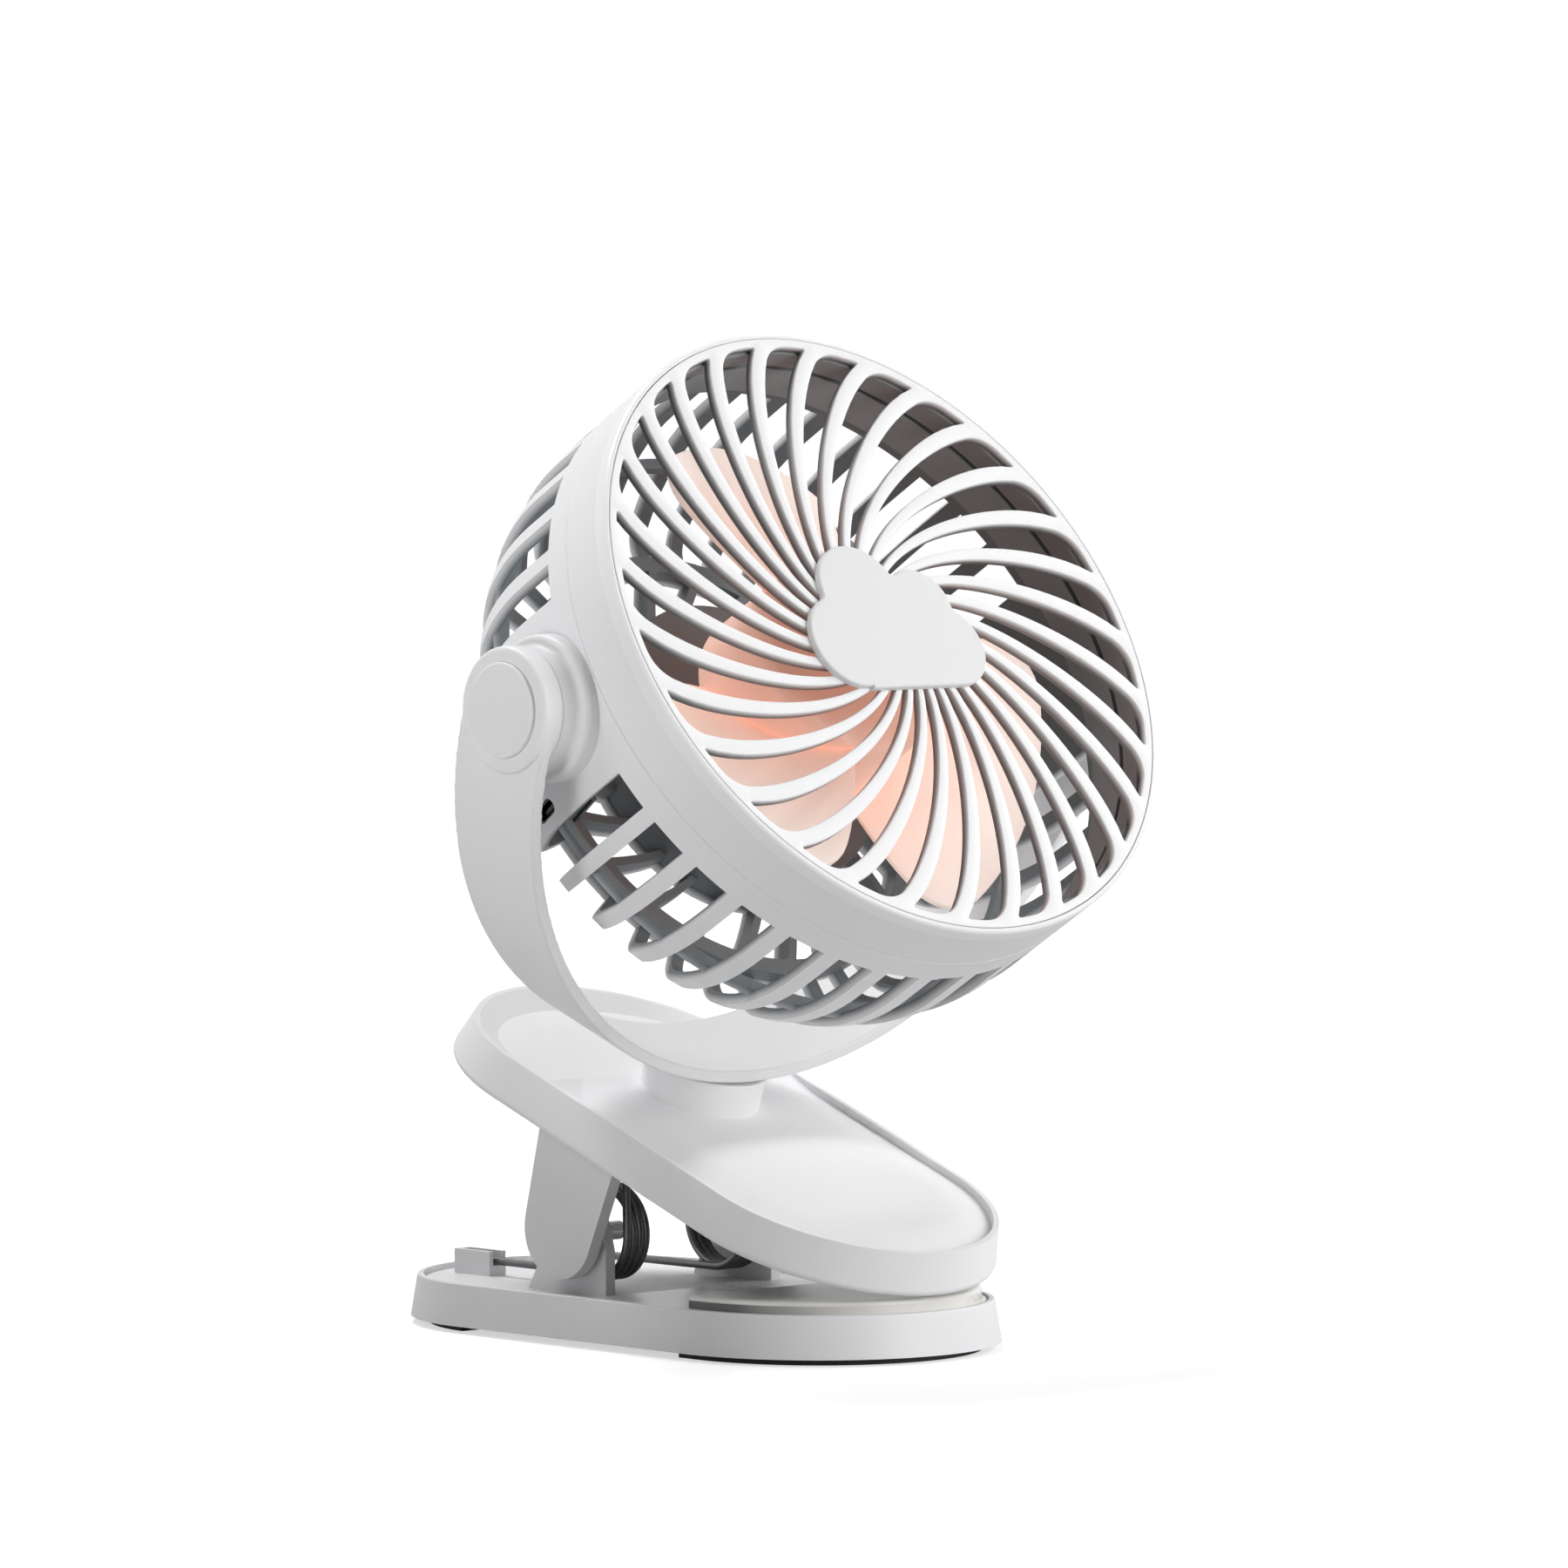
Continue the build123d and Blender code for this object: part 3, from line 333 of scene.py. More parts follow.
def plastic(name, light, dark, roughness, grain=0.0004, spread=0.08):
    """Moulded plastic or rubber: two near tones mixed by patches, with grain in bump and roughness."""
    made = bpy.data.materials.new(name)
    made.use_nodes = True
    tree = made.node_tree
    tree.nodes.clear()
    place_on_part = add(tree, "ShaderNodeTexCoord").outputs["Object"]
    surface = add(tree, "ShaderNodeGroup", None, node_tree=grain_group)
    tree.links.new(place_on_part, surface.inputs["Vector"])
    surface.inputs["Grain Size"].default_value = grain
    surface.inputs["Roughness"].default_value = roughness
    surface.inputs["Roughness Spread"].default_value = spread
    tone = add(tree, "ShaderNodeMix", {"Factor": surface.outputs["Patches"]}, data_type="RGBA")
    tone.inputs["A"].default_value = (*dark, 1)
    tone.inputs["B"].default_value = (*light, 1)
    bump = add(
        tree,
        "ShaderNodeBump",
        {"Height": surface.outputs["Height"], "Distance": grain * GRAIN_DEPTH, "Strength": GRAIN_STRENGTH},
    )
    shader = add(
        tree, "ShaderNodeBsdfPrincipled", {"Roughness": surface.outputs["Roughness"], "Normal": bump.outputs[0]}
    )
    tree.links.new(tone.outputs["Result"], shader.inputs["Base Color"])
    add(tree, "ShaderNodeOutputMaterial", {"Surface": shader.outputs[0]})
    return made


def shader_of(made):
    """The main shader of a material."""
    return next(n for n in made.node_tree.nodes if n.type == "BSDF_PRINCIPLED")


def drum_masks(tree):
    """Outputs of the drum's shader group at each point of a part."""
    drum = add(tree, "ShaderNodeGroup", None, node_tree=shade_mask_group)
    tree.links.new(add(tree, "ShaderNodeTexCoord").outputs["Object"], drum.inputs["Vector"])
    return drum.outputs


def tint(made, mask, colour):
    """Turn a material's own colour to another one where a mask is 1."""
    tree, shader = made.node_tree, shader_of(made)
    tone = add(tree, "ShaderNodeMix", {"Factor": mask}, data_type="RGBA")
    tree.links.new(shader.inputs["Base Color"].links[0].from_socket, tone.inputs["A"])
    tone.inputs["B"].default_value = (*colour, 1)
    tree.links.new(tone.outputs["Result"], shader.inputs["Base Color"])


def shade_painted_plastic(made, mask, dim):
    """A plastic with painted shade: a dim tone where one of the drum's masks says so."""
    tint(made, drum_masks(made.node_tree)[mask], dim)
    return made


white_shell = plastic("white_shell_plastic", WHITE_LIGHT, WHITE_DARK, WHITE_ROUGHNESS)
# painted shade: the drum's inner faces turn dim grey
white_drum = shade_painted_plastic(
    plastic("drum_plastic", WHITE_LIGHT, WHITE_DARK, WHITE_ROUGHNESS), "Inside", (0.18, 0.205, 0.22)
)
white_front = shade_painted_plastic(
    plastic("front_drum_plastic", WHITE_LIGHT, WHITE_DARK, WHITE_ROUGHNESS), "Inside", (0.26, 0.285, 0.30)
)
# painted shade: the slats' walls behind the face turn dim grey
white_grille = shade_painted_plastic(
    plastic("white_grille_plastic", (0.84, 0.84, 0.845), (0.81, 0.81, 0.82), 0.40),
    "Behind Face",
    (0.22, 0.225, 0.23),
)
white_plate = plastic("clamp_plate_plastic", (0.86, 0.86, 0.87), (0.83, 0.83, 0.84), 0.5)
cap_grey = plastic("hub_cap_plastic", (0.72, 0.72, 0.725), (0.69, 0.69, 0.697), 0.42)
dark_rubber = plastic("dark_rubber", (0.035, 0.035, 0.037), (0.022, 0.022, 0.024), 0.7, grain=0.0006)
pale_pad = plastic("pale_pad", (0.82, 0.81, 0.78), (0.76, 0.75, 0.715), 0.28, spread=0.2)
black_board = plastic("black_board", (0.02, 0.025, 0.022), (0.012, 0.016, 0.014), 0.4)
battery_wrap = plastic("battery_wrap", (0.12, 0.13, 0.15), (0.09, 0.10, 0.12), 0.35)
print("plastics", [m.name for m in bpy.data.materials])

# %% [markdown]
# In the gap between the two plates the side of the thick jaw pad gets painted shade, a dark grey. A band in height
# picks that side out, and it fades away towards the jaw end, where that side is left pale.

# %% Jaw pad with painted shade on its side
PAD_SHADE_BOTTOM, PAD_SHADE_TOP = 10.3, 12.2
PAD_SHADE_SOFTNESS = 0.2
PAD_SHADE_FULL_AT, PAD_SHADE_GONE_AT = 46, 68


def pad_with_painted_shade(made):
    """Paint shade on the side of a pale pad."""
    tree = made.node_tree
    place = add(tree, "ShaderNodeSeparateXYZ", {0: add(tree, "ShaderNodeTexCoord").outputs["Object"]})
    mask = None
    for axis, gone, full in (
        ("Z", PAD_SHADE_BOTTOM, PAD_SHADE_BOTTOM + PAD_SHADE_SOFTNESS),
        ("Z", PAD_SHADE_TOP, PAD_SHADE_TOP - PAD_SHADE_SOFTNESS),
        ("X", PAD_SHADE_GONE_AT, PAD_SHADE_FULL_AT),
    ):
        limits = {"Value": place.outputs[axis], "From Min": gone * MM, "From Max": full * MM}
        ramp = add(tree, "ShaderNodeMapRange", limits).outputs[0]
        mask = ramp if mask is None else sums(tree, "MULTIPLY", mask, ramp)
    # painted shade: the pad's side turns dark grey
    tint(made, mask, (0.13, 0.13, 0.13))


pad_with_painted_shade(pale_pad)
print("jaw pad", pale_pad.name)

# %% [markdown]
# ## Metal parts
#
# The springs, pins and screws are drawn or turned metal. Fine lines run round them and catch
# the light, so another shader group stretches a noise along one direction and gives a streak
# mask. The dark spring steel is oiled and almost black, and the screws are bright.

# %% Shader group: drawn metal
STREAK_STRETCH = (1.0, 0.15, 1.0)
STREAK_DEPTH = 0.04 * MM


def drawn_metal():
    """Thin streaks left by drawing or turning the metal."""
    tree, given, out = new_group(
        "drawn_metal",
        [
            ("Vector", "NodeSocketVector", None),
            ("Streak Size", "NodeSocketFloat", 0.0006),
            ("Roughness", "NodeSocketFloat", 0.35),
            ("Roughness Spread", "NodeSocketFloat", 0.2),
        ],
        ("Streaks", "Roughness", "Height"),
    )
    fine = sums(tree, "DIVIDE", 1.0, given["Streak Size"])
    long = add(tree, "ShaderNodeMapping", {"Vector": given["Vector"], "Scale": STREAK_STRETCH}).outputs[0]
    streak = add(tree, "ShaderNodeTexNoise", {"Vector": long, "Scale": fine, "Detail": 3.0}).outputs[0]
    spread = sums(tree, "MULTIPLY", sums(tree, "SUBTRACT", streak, 0.5), given["Roughness Spread"])
    tree.links.new(streak, out.inputs["Streaks"])
    tree.links.new(sums(tree, "ADD", given["Roughness"], spread), out.inputs["Roughness"])
    tree.links.new(streak, out.inputs["Height"])
    return tree


streak_group = drawn_metal()


def metal(name, light, dark, roughness):
    """Metal whose colour and gloss follow the streaks."""
    made = bpy.data.materials.new(name)
    made.use_nodes = True
    tree = made.node_tree
    tree.nodes.clear()
    surface = add(tree, "ShaderNodeGroup", None, node_tree=streak_group)
    tree.links.new(add(tree, "ShaderNodeTexCoord").outputs["Object"], surface.inputs["Vector"])
    surface.inputs["Roughness"].default_value = roughness
    tone = add(tree, "ShaderNodeMix", {"Factor": surface.outputs["Streaks"]}, data_type="RGBA")
    tone.inputs["A"].default_value = (*dark, 1)
    tone.inputs["B"].default_value = (*light, 1)
    bump = add(tree, "ShaderNodeBump", {"Height": surface.outputs["Height"], "Distance": STREAK_DEPTH})
    shader = add(
        tree,
        "ShaderNodeBsdfPrincipled",
        {"Metallic": 1.0, "Roughness": surface.outputs["Roughness"], "Normal": bump.outputs[0]},
    )
    tree.links.new(tone.outputs["Result"], shader.inputs["Base Color"])
    add(tree, "ShaderNodeOutputMaterial", {"Surface": shader.outputs[0]})
    return made


spring_steel = metal("dark_spring_steel", (0.20, 0.20, 0.205), (0.10, 0.10, 0.105), 0.38)
bright_steel = metal("bright_steel", (0.66, 0.66, 0.67), (0.50, 0.50, 0.51), 0.28)
motor_can = metal("motor_can_steel", (0.55, 0.55, 0.56), (0.42, 0.42, 0.43), 0.3)
brass = metal("brass", (0.72, 0.55, 0.26), (0.60, 0.44, 0.20), 0.3)
port_metal = metal("port_steel", (0.10, 0.10, 0.11), (0.06, 0.06, 0.07), 0.35)
print("metals", spring_steel.name, bright_steel.name, motor_can.name, brass.name, port_metal.name)

# %% [markdown]
# ## Peach blades
#
# In the photograph the blades are a warm salmon near the hub and paler towards the tip, where the hub and the grille
# shade them less. Here that is painted shade: the colour follows the distance from the axis. Subsurface scattering
# spreads the light inside the blades, and a painted glow of their own, salmon near the hub and pale at the tip,
# stands in for light from behind. Both are chosen to come near the photograph's tones. The same grain group keeps the
# blades in the family of the other plastics.

# %% Blade material
SALMON_UP_TO, PALE_FROM = 18, 52
BLADE_GLOW = 0.38
HUB_GLOW = (0.84, 0.40, 0.28)
TIP_GLOW = (1.0, 0.79, 0.71)
TIP_TONE = (0.99, 0.82, 0.76)


def blade_plastic():
    """Peach plastic with light spreading inside it, painted shade that leaves it paler towards the tip, and a painted
    glow.
    """
    made = plastic("peach_blade_plastic", (0.97, 0.66, 0.55), (0.93, 0.58, 0.47), 0.36)
    tree, shader = made.node_tree, shader_of(made)
    from_axis = drum_masks(tree)["From Axis"]
    limits = {"Value": from_axis, "From Min": SALMON_UP_TO * MM, "From Max": PALE_FROM * MM}
    pale = add(tree, "ShaderNodeMapRange", limits).outputs[0]
    # painted shade: salmon near the hub, turning pale towards the tip
    tint(made, pale, TIP_TONE)
    # painted glow: the blades give off light of their own, salmon near the hub and pale at the tip
    glow = add(tree, "ShaderNodeMix", {"Factor": pale}, data_type="RGBA")
    glow.inputs["A"].default_value = (*HUB_GLOW, 1)
    glow.inputs["B"].default_value = (*TIP_GLOW, 1)
    tree.links.new(glow.outputs["Result"], shader.inputs["Emission Color"])
    shader.inputs["Emission Strength"].default_value = BLADE_GLOW
    shader.inputs["Subsurface Weight"].default_value = 0.35
    shader.inputs["Subsurface Scale"].default_value = 0.004
    shader.inputs["Subsurface Radius"].default_value = (1.0, 0.55, 0.4)
    return made


peach_blade = blade_plastic()
print("blade material", peach_blade.name)

# %% [markdown]
# ## Geometry Nodes: small helpers
#
# What repeats is made by Geometry Nodes. Each tree takes one plain mesh, such as the wall of
# one slot, and named numbers. A helper hands the mesh and the numbers to the tree, keeps the
# result as an ordinary mesh and throws the helper object away.

# %% Helpers for geometry trees
def geometry_tree(name, inputs):
    """An empty geometry tree with a mesh going in, a mesh coming out, and named inputs."""
    tree = bpy.data.node_groups.new(name, "GeometryNodeTree")
    tree.interface.new_socket("Geometry", in_out="INPUT", socket_type="NodeSocketGeometry")
    tree.interface.new_socket("Geometry", in_out="OUTPUT", socket_type="NodeSocketGeometry")
    for title, kind in inputs:
        tree.interface.new_socket(title, in_out="INPUT", socket_type=kind)
    tree.interface.new_socket("Finish", in_out="INPUT", socket_type="NodeSocketMaterial")
    return tree, tree.nodes.new("NodeGroupInput").outputs, tree.nodes.new("NodeGroupOutput")


def close_tree(tree, given, out, geometry):
    """End a tree with real geometry that carries its material."""
    real = add(tree, "GeometryNodeRealizeInstances", {0: geometry}).outputs[0]
    dressed = add(tree, "GeometryNodeSetMaterial", {"Geometry": real, "Material": given["Finish"]})
    tree.links.new(dressed.outputs[0], out.inputs[0])


def new_worker(mesh):
    """A helper object that carries a mesh through its modifiers."""
    worker = bpy.data.objects.new("worker", mesh)
    bpy.context.scene.collection.objects.link(worker)
    return worker


def result_of(worker):
    """What a helper object's modifiers made, as a plain mesh. The helper is thrown away."""
    graph = bpy.context.evaluated_depsgraph_get()
    mesh = bpy.data.meshes.new_from_object(worker.evaluated_get(graph), depsgraph=graph)
    worker.modifiers.clear()
    bpy.data.objects.remove(worker)
    return mesh


def grow(tree, start_mesh, finish, **values):
    """Run a tree on a mesh and return the result as a plain mesh."""
    worker = new_worker(start_mesh)
    step = worker.modifiers.new("grow", "NODES")
    step.node_group = tree
    values = {title.replace("_", " "): value for title, value in values.items()} | {"Finish": finish}
    for item in tree.interface.items_tree:
        if item.in_out == "INPUT" and item.name in values:
            step[item.identifier] = values[item.name]
    return result_of(worker)


def turned_copies(tree, geometry, count):
    """Copies of a piece of geometry spread evenly round Z."""
    points = add(tree, "GeometryNodePoints", {"Count": count}).outputs[0]
    number = add(tree, "GeometryNodeInputIndex").outputs[0]
    turn_by = sums(tree, "MULTIPLY", sums(tree, "DIVIDE", number, count), tau)
    around = add(tree, "ShaderNodeCombineXYZ", {"Z": turn_by}).outputs[0]
    rotation = add(tree, "FunctionNodeEulerToRotation", {0: around}).outputs[0]
    copies = add(tree, "GeometryNodeInstanceOnPoints", {"Points": points, "Instance": geometry, "Rotation": rotation})
    return add(tree, "GeometryNodeRealizeInstances", {0: copies.outputs[0]}).outputs[0]


print("geometry helpers ready")

# %% [markdown]
# ## Small helpers for meshes
#
# The pieces of the head are easiest to draw looking at the fan from the front: x to the side,
# y up and z out of the grille. They are drawn there in millimetres and then set in place once,
# so that every finished object stays at the origin. Round pieces are a half section turned
# round the axis, as on a lathe.

# %% Helpers for meshes
head_place = Matrix.Translation(HEAD_CENTRE) @ Matrix(
    ((0, -sin(HEAD_TILT), cos(HEAD_TILT)), (1, 0, 0), (0, cos(HEAD_TILT), sin(HEAD_TILT)))
).to_4x4()


def mesh_from(name, points, faces=(), edges=()):
    """A mesh from points in millimetres."""
    mesh = bpy.data.meshes.new(name)
    mesh.from_pydata([tuple(c * MM for c in p) for p in points], list(edges), list(faces))
    return mesh


def lathe(profile, steps):
    """Closed shell made by turning a closed half section of (radius, height) points."""
    points = []
    for k in range(steps):
        turned = tau * k / steps
        points += [(r * cos(turned), r * sin(turned), z) for r, z in profile]
    row = len(profile)
    faces = []
    for k in range(steps):
        after = (k + 1) % steps
        for j in range(row):
            up_one = (j + 1) % row
            faces.append((k * row + j, after * row + j, after * row + up_one, k * row + up_one))
    return points, faces


def merged(name, parts):
    """Join meshes into one, merge doubles and point the faces outwards."""
    joined = bmesh.new()
    for part in parts:
        joined.from_mesh(part)
    bmesh.ops.remove_doubles(joined, verts=joined.verts, dist=1e-6)
    bmesh.ops.dissolve_degenerate(joined, edges=joined.edges, dist=1e-7)
    bmesh.ops.recalc_face_normals(joined, faces=joined.faces)
    open_edges = sum(1 for e in joined.edges if len(e.link_faces) != 2)
    mesh = bpy.data.meshes.new(name)
    joined.to_mesh(mesh)
    joined.free()
    print(name, "faces", len(mesh.polygons), "open edges", open_edges)
    return mesh


def place_piece(name, mesh, where, finish, body, slot, *replaced, crease=32):
    """Put a finished mesh in its place as an object that rides on a body."""
    mesh.transform(where)
    for polygon in mesh.polygons:
        polygon.use_smooth = True
    mesh.set_sharp_from_angle(angle=radians(crease))
    mesh.materials.clear()
    mesh.materials.append(finish)
    piece = bpy.data.objects.new(name, mesh)
    bpy.context.scene.collection.objects.link(piece)
    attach(piece, body)
    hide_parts(*replaced)


print("head centre in mm", [round(c / MM, 1) for c in HEAD_CENTRE])

# %% [markdown]
# ## The front grille
#
# Thirty slats sweep from the hub to the rim like a pinwheel, so thirty equal slots are cut in
# one flat disc. The slot's two long sides follow one rule: the sweep grows with the logarithm
# of the radius and steepens a little at the rim. Only one outer corner is broad and round.
# A slot's wall is drawn once, with softened edges at the front and the back. Geometry Nodes
# turns it thirty times and fills the flat front and back between the walls and a circle.

# %% The rule of a slot
SLATS = 30
FIRST_SLAT = 9.3
SLOT_INNER = 13.0
SLOT_OUTER = 67.7
SLAT_BACK = 27.2
DISC_RADIUS = 69.5
SWEEP_START = 67
SWEEP_RATE = 29
RIM_CURL, CURL_RATE = 2, 10
SLAT_WIDTH, SLAT_GROWTH = 0.6, 0.031
BROAD_WIDTH, BROAD_GROWTH = 0.3, 0.017
SLAT_LEAN = radians(26)
BROAD_CORNER, SMALL_CORNER, HUB_CORNER = 4.2, 0.9, 0.35


def sweep_angle(radius):
    """How far, in degrees, a slat has turned at a radius."""
    depth = log(SWEEP_START / radius)
    return SWEEP_RATE * depth + RIM_CURL * (1 - exp(-CURL_RATE * depth))


def polar(radius, angle):
    """Point at a radius and an angle in degrees."""
    return Vector((radius * cos(radians(angle)), radius * sin(radians(angle))))


def slot_sides(steps=36):
    """The two long sides of a slot, from the hub outwards."""
    low, high = [], []
    for k in range(steps + 1):
        r = SLOT_INNER * (SLOT_OUTER / SLOT_INNER) ** (k / steps)
        narrow = degrees((SLAT_WIDTH + SLAT_GROWTH * r) / 2 / r / cos(SLAT_LEAN))
        broad = narrow + degrees((BROAD_WIDTH + BROAD_GROWTH * r) / r / cos(SLAT_LEAN))
        low.append(polar(r, sweep_angle(r) + narrow))
        high.append(polar(r, sweep_angle(r) + 360 / SLATS - broad))
    return low, high


def walk(side, reach):
    """Split a side at a distance from its last point: the part before it, and the point there."""
    kept = [p for p in side if (p - side[-1]).length > reach]
    last = kept[-1]
    after = side[len(kept)]
    beyond = (last - side[-1]).length - reach
    span = (last - side[-1]).length - (after - side[-1]).length
    return kept, last.lerp(after, beyond / span)


def soft_corner(start, corner, end, steps=6):
    """Points of a rounded corner between two points on the sides that meet in it."""
    curve = []
    for k in range(steps + 1):
        t = k / steps
        curve.append(start * (1 - t) ** 2 + corner * (2 * t * (1 - t)) + end * t**2)
    return curve


def slot_outline():
    """One closed slot, counter-clockwise, from the hub along its low side and back."""
    low, high = slot_sides()
    low_angle = degrees(atan2(low[-1].y, low[-1].x))
    high_angle = degrees(atan2(high[-1].y, high[-1].x))
    rim = [polar(SLOT_OUTER, low_angle + (high_angle - low_angle) * k / 12) for k in range(13)]
    low_part, low_cut = walk(low, SMALL_CORNER)
    high_part, high_cut = walk(high, BROAD_CORNER)
    rim_part, rim_end = walk(rim, BROAD_CORNER)
    rim_start_part, rim_start = walk(rim[::-1], SMALL_CORNER)
    low_part, low_start = walk(low_part[::-1], HUB_CORNER)
    high_part, high_start = walk(high_part[::-1], HUB_CORNER)
    inset = (high[0] - low[0]).normalized() * HUB_CORNER
    outline = low_part[::-1]
    outline += soft_corner(low_cut, low[-1], rim_start)
    outline += [p for p in rim_part if p in rim_start_part]
    outline += soft_corner(rim_end, high[-1], high_cut, 10)
    outline += high_part
    outline += soft_corner(high_start, high[0], high[0] - inset, 3)
    outline += soft_corner(low[0] + inset, low[0], low_start, 3)
    return outline


outline = slot_outline()
print("points in one slot", len(outline))

# %% [markdown]
# The outline becomes a wall through loops at several heights. The slot widens a little at the
# back and towards the face, which softens its edges.

# %% The wall of one slot
def grown(loop, distance):
    """A closed counter-clockwise loop moved outwards by a distance."""
    moved = []
    for k, point in enumerate(loop):
        along = (loop[(k + 1) % len(loop)] - loop[k - 1]).normalized()
        moved.append(point + Vector((along.y, -along.x)) * distance)
    return moved


def slot_wall(loop, levels):
    """Band of faces down the inside of a slot, through loops at several heights."""
    points = []
    for height, distance in levels:
        points += [(p.x, p.y, height) for p in grown(loop, distance)]
    row = len(loop)
    faces = []
    for k in range(len(levels) - 1):
        for j in range(row):
            after = (j + 1) % row
            faces.append((k * row + j, k * row + after, (k + 1) * row + after, (k + 1) * row + j))
    return mesh_from("slot_wall", points, faces)


SLOT_LEVELS = (
    (SLAT_BACK, 0.12), (SLAT_BACK + 0.15, 0.0),
    (FACE - 0.42, 0.0), (FACE - 0.2, 0.04), (FACE - 0.06, 0.14), (FACE, 0.3),
)
wall = slot_wall(outline, SLOT_LEVELS)
print("faces in one slot wall", len(wall.polygons))

# %% [markdown]
# The tree turns the wall round the axis, finds its open edges at the front and at the back,
# and fills the flat between those loops and a circle.

# %% Geometry tree: a disc pierced by turned slots
def pierced_disc():
    """Turn a slot's wall round the axis and close the front and back between walls and rim."""
    tree, given, out = geometry_tree(
        "pierced_disc",
        [
            ("Count", "NodeSocketInt"), ("Rim Steps", "NodeSocketInt"), ("Front Radius", "NodeSocketFloat"),
            ("Back Radius", "NodeSocketFloat"), ("Front", "NodeSocketFloat"), ("Back", "NodeSocketFloat"),
        ],
    )
    walls = turned_copies(tree, given["Geometry"], given["Count"])
    middle = sums(tree, "MULTIPLY", sums(tree, "ADD", given["Front"], given["Back"]), 0.5)
    position = add(tree, "GeometryNodeInputPosition").outputs[0]
    height = add(tree, "ShaderNodeSeparateXYZ", {0: position}).outputs["Z"]
    neighbours = add(tree, "GeometryNodeInputMeshEdgeNeighbors").outputs[0]
    border = sums(tree, "LESS_THAN", neighbours, 1.5)
    flats = []
    for side, test in (("Front", "GREATER_THAN"), ("Back", "LESS_THAN")):
        chosen = sums(tree, "MULTIPLY", border, sums(tree, test, height, middle))
        loops = add(tree, "GeometryNodeMeshToCurve", {"Mesh": walls, "Selection": chosen}).outputs[0]
        rim = add(
            tree,
            "GeometryNodeCurvePrimitiveCircle",
            {"Resolution": given["Rim Steps"], "Radius": given[side + " Radius"]},
        ).outputs[0]
        both_loops = add(tree, "GeometryNodeJoinGeometry")
        tree.links.new(loops, both_loops.inputs[0])
        tree.links.new(rim, both_loops.inputs[0])
        filled = add(tree, "GeometryNodeFillCurve", {0: both_loops.outputs[0]}).outputs[0]
        lift = add(tree, "ShaderNodeCombineXYZ", {"Z": given[side]}).outputs[0]
        flats.append(add(tree, "GeometryNodeSetPosition", {"Geometry": filled, "Offset": lift}).outputs[0])
    flats[1] = add(tree, "GeometryNodeFlipFaces", {0: flats[1]}).outputs[0]
    everything = add(tree, "GeometryNodeJoinGeometry")
    for geometry in (walls, *flats):
        tree.links.new(geometry, everything.inputs[0])
    close_tree(tree, given, out, everything.outputs[0])
    return tree


RIM_STEPS = 240
RIM_EDGE = 0.12
disc = grow(
    pierced_disc(),
    wall,
    white_grille,
    Count=SLATS,
    Rim_Steps=RIM_STEPS,
    Front_Radius=(DISC_RADIUS - RIM_EDGE) * MM,
    Back_Radius=DISC_RADIUS * MM,
    Front=FACE * MM,
    Back=SLAT_BACK * MM,
)
print("pierced disc faces", len(disc.polygons))

# %% [markdown]
# A narrow band closes the disc's outer edge, and a turned ring stands round it. The three
# meshes are joined into one.

# %% Rim of the grille
RIM_SOFTENING = 0.14

rim_band_points = []
for k in range(RIM_STEPS):
    turned = tau * k / RIM_STEPS
    for r, z in ((DISC_RADIUS, SLAT_BACK), (DISC_RADIUS, FACE - RIM_SOFTENING), (DISC_RADIUS - RIM_EDGE, FACE)):
        rim_band_points.append((r * cos(turned), r * sin(turned), z))
rim_band_faces = []
for k in range(RIM_STEPS):
    here, after = 3 * k, 3 * ((k + 1) % RIM_STEPS)
    rim_band_faces += [(here, after, after + 1, here + 1), (here + 1, after + 1, after + 2, here + 2)]
rim_band = mesh_from("rim_band", rim_band_points, rim_band_faces)
RING_SECTION = (
    (67.1, 22.5), (68.3, 22.5), (68.3, 26.0), (DRUM_RADIUS, 26.0), (DRUM_RADIUS, 28.4),
    (70.72, 28.8), (70.5, 29.12), (70.2, 29.32), (69.9, FACE), (69.75, 29.34), (69.66, 29.18),
    (69.64, 27.3), (67.1, 27.3),
)
outer_ring = mesh_from("outer_ring", *lathe(RING_SECTION, RIM_STEPS))
grille_mesh = merged("swept_grille", (disc, rim_band, outer_ring))
turn_slots = Matrix.Rotation(radians(FIRST_SLAT), 4, "Z")
place_piece(
    "swept_grille",
    grille_mesh,
    head_place @ turn_slots,
    white_grille,
    "head",
    "white_grille",
    "front_grille",
    crease=40,
)

# %% [markdown]
# ## The rotor
#
# Three broad blades stand on a round hub like turns of a screw: the surface climbs towards the
# grille as it goes round. One blade is a grid bent to that rule, with its outline narrowed in
# round corners at the tip. It gets its thickness from a Solidify modifier, and Geometry Nodes
# turns it three times.

# %% One blade
BLADES = 3
HUB = 22.5
TIP = 56.0
SPAN = 80.0
RISE = 20.0
BLADE_BACK = -4.5
BLADE_START = 88.0
BLADE_THICKNESS = 1.5
BLADE_SOFTNESS = 0.45
BEVEL_FROM = radians(50)
TIP_CORNER = 9.0
FIRST_EDGE_SHIFT, FIRST_EDGE_CURVE = 2, 5.5
LAST_EDGE_SHIFT, LAST_EDGE_TAPER, LAST_EDGE_CURVE = 1, 3, 5
SUNK_IN_HUB, BLADE_REACH = 1.0, 0.96
ROW_CROWDING = 1.6


def blade_limits(radius):
    """First and last angle of a blade at a radius, with round corners near the tip."""
    out = max(0.0, (radius - HUB) / (TIP - HUB))
    first = -SPAN / 2 - FIRST_EDGE_SHIFT + FIRST_EDGE_CURVE * out**2
    last = SPAN / 2 + LAST_EDGE_SHIFT - LAST_EDGE_TAPER * out - LAST_EDGE_CURVE * out**3
    into = max(0.0, radius - (TIP - TIP_CORNER))
    cut = degrees((TIP_CORNER - sqrt(TIP_CORNER**2 - into**2)) / radius)
    return first + cut, last - cut


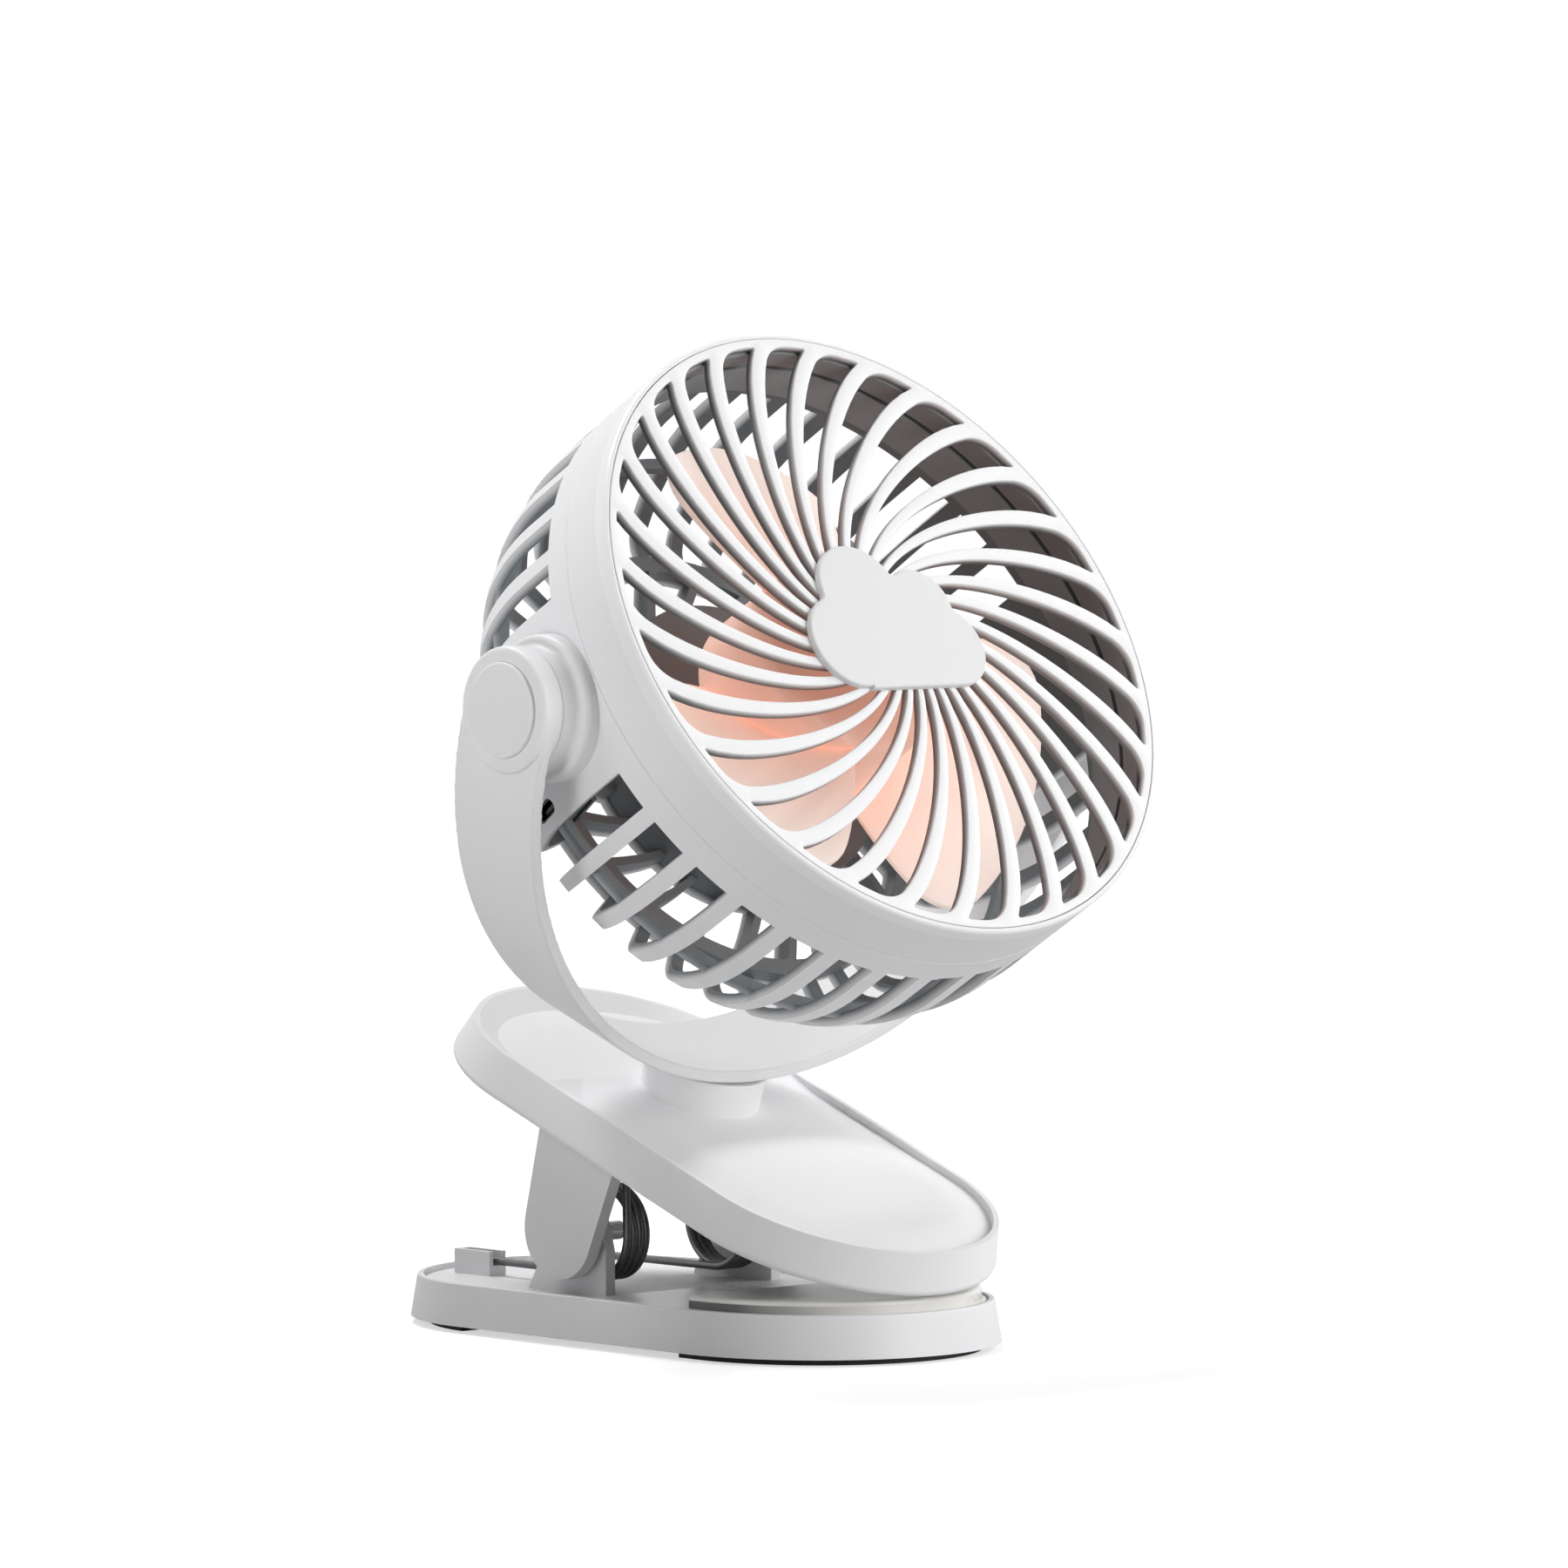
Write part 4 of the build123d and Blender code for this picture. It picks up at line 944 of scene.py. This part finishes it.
def blade_grid(across=28, outwards=18):
    """A blade's middle surface as a bent grid."""
    points = []
    for j in range(outwards + 1):
        share = j / outwards
        r = HUB - SUNK_IN_HUB + (TIP - HUB + BLADE_REACH) * (1 - (1 - share) ** ROW_CROWDING)
        first, last = blade_limits(r)
        for k in range(across + 1):
            angle = first + (last - first) * k / across
            climb = BLADE_BACK + RISE * (angle + SPAN / 2) / SPAN
            points.append((*polar(r, angle), climb))
    row = across + 1
    faces = [
        (j * row + k, j * row + k + 1, (j + 1) * row + k + 1, (j + 1) * row + k)
        for j in range(outwards)
        for k in range(across)
    ]
    return mesh_from("blade", points, faces)


def thickened(mesh, thickness, softness):
    """A thin sheet made solid, with soft edges."""
    worker = new_worker(mesh)
    solid = worker.modifiers.new("solid", "SOLIDIFY")
    solid.thickness = thickness * MM
    solid.offset = 0
    soft = worker.modifiers.new("soft", "BEVEL")
    soft.width = softness * MM
    soft.segments = 3
    soft.limit_method = "ANGLE"
    soft.angle_limit = BEVEL_FROM
    return result_of(worker)


one_blade = thickened(blade_grid(), BLADE_THICKNESS, BLADE_SOFTNESS)
print("faces in one blade", len(one_blade.polygons))

# %% [markdown]
# A short tree turns the blade round the axis. The hub is turned as on a lathe and joined to
# the blades.

# %% Geometry tree: turned copies, and the finished rotor
def pinwheel():
    """Copies of one mesh turned evenly round the axis."""
    tree, given, out = geometry_tree("pinwheel", [("Count", "NodeSocketInt")])
    close_tree(tree, given, out, turned_copies(tree, given["Geometry"], given["Count"]))
    return tree


blades = grow(pinwheel(), one_blade, peach_blade, Count=BLADES)
HUB_STEPS = 120
HUB_SECTION = (
    (1.5, 7.4), (4.0, 7.4), (4.0, 15.2), (20.7, 15.2), (20.7, -5.5), (HUB, -5.5), (HUB, 14.5),
    (22.2, 15.7), (21.4, 16.6), (20.2, 17.0), (1.5, 17.0),
)
hub = mesh_from("hub", *lathe(HUB_SECTION, HUB_STEPS))
rotor_mesh = merged("peach_rotor", (blades, hub))
turn_blades = Matrix.Rotation(radians(BLADE_START), 4, "Z")
place_piece(
    "peach_rotor", rotor_mesh, head_place @ turn_blades, peach_blade, "rotor", "peach_blade", "fan_rotor", crease=45
)

# %% [markdown]
# ## The clamp springs
#
# Each spring is one length of round wire: a straight leg over the lower plate to a small block
# at the handle end, a close coil round its hinge pin, and a straight leg up under the upper
# clamp. The wire's path is a line of points by rule, and Geometry Nodes runs a round section
# along it and closes its ends. The spring is drawn at rest and doesn't bend when the clamp
# opens.

# %% Geometry tree: wire along a path
def wire_along():
    """Round wire along a line of points."""
    tree, given, out = geometry_tree(
        "wire_along", [("Wire Radius", "NodeSocketFloat"), ("Section Steps", "NodeSocketInt")]
    )
    line = add(tree, "GeometryNodeMeshToCurve", {"Mesh": given["Geometry"]}).outputs[0]
    section = add(
        tree,
        "GeometryNodeCurvePrimitiveCircle",
        {"Resolution": given["Section Steps"], "Radius": given["Wire Radius"]},
    ).outputs[0]
    wire = add(tree, "GeometryNodeCurveToMesh", {"Curve": line, "Profile Curve": section, "Fill Caps": True})
    close_tree(tree, given, out, wire.outputs[0])
    return tree


wire_tree = wire_along()
HINGE = Vector((-11.5, 0.0, 22.1))
COIL_RADIUS = 9.6
COIL_PITCH = 1.78
COIL_TURNS = 3.25
COIL_INNER = 14.0
LOWER_LEG = 45.4
UPPER_LEG = 16.5
WIRE = 1.7
WIRE_STEPS = 20
COIL_STEPS = 160


def spring_path(side):
    """Points of the wire, from the end of the lower leg to the end of the upper one."""
    climb = COIL_PITCH / (tau * COIL_RADIUS)
    coil = []
    for k in range(COIL_STEPS + 1):
        turned = tau * COIL_TURNS * k / COIL_STEPS
        across = COIL_INNER + COIL_PITCH * turned / tau
        coil.append(HINGE + Vector((COIL_RADIUS * sin(turned), across, -COIL_RADIUS * cos(turned))))
    lower = coil[0] - Vector((1, climb, 0)).normalized() * LOWER_LEG
    upper = coil[-1] + Vector((0, climb, 1)).normalized() * UPPER_LEG
    return [(p.x, side * p.y, p.z) for p in (lower, *coil, upper)]


for side, label in ((-1, "near"), (1, "far")):
    points = spring_path(side)
    line = mesh_from("wire_line", points, edges=[(k, k + 1) for k in range(len(points) - 1)])
    wire = grow(wire_tree, line, spring_steel, Wire_Radius=WIRE / 2 * MM, Section_Steps=WIRE_STEPS)
    spring = merged(f"{label}_spring", [wire])
    place_piece(
        f"{label}_clamp_spring",
        spring,
        Matrix(),
        spring_steel,
        "base",
        "spring_steel",
        f"clamp_spring_{label}",
        crease=60,
    )

# %% [markdown]
# ## Dress the CAD parts
#
# These parts have the right shape already, so they only get their finish. A table names the
# nodes of each material.

# %% Give the CAD parts their finishes
FINISHES = {
    white_shell: (
        "lower_plate", "bottom_cover", "upper_cover", "yoke", "pivot_caps", "rear_cap", "speed_button",
    ),
    white_plate: ("upper_plate",),
    white_drum: ("rear_shell",),
    white_front: ("front_shell",),
    cap_grey: ("hub_cap",),
    dark_rubber: ("foot_pad_front", "foot_pad_rear", "upper_jaw_pad"),
    pale_pad: ("lower_jaw_pad",),
    bright_steel: (
        "hinge_pins", "bottom_screws", "cover_screws", "swivel_washer", "swivel_screw", "rear_cap_screws",
        "motor_screws", "motor_shaft", "pivot_screws", "pivot_washers",
    ),
    motor_can: ("motor",),
    brass: ("pivot_inserts",),
    black_board: ("control_board", "charging_board"),
    battery_wrap: ("battery",),
    port_metal: ("charging_port",),
}
for finish, names in FINISHES.items():
    for name in names:
        nodes[name].data.materials.clear()
        nodes[name].data.materials.append(finish)
replaced = {"front_grille", "fan_rotor", "clamp_spring_near", "clamp_spring_far"}
bare = set(nodes) - replaced - {name for names in FINISHES.values() for name in names}
print("nodes without a finish:", sorted(bare))
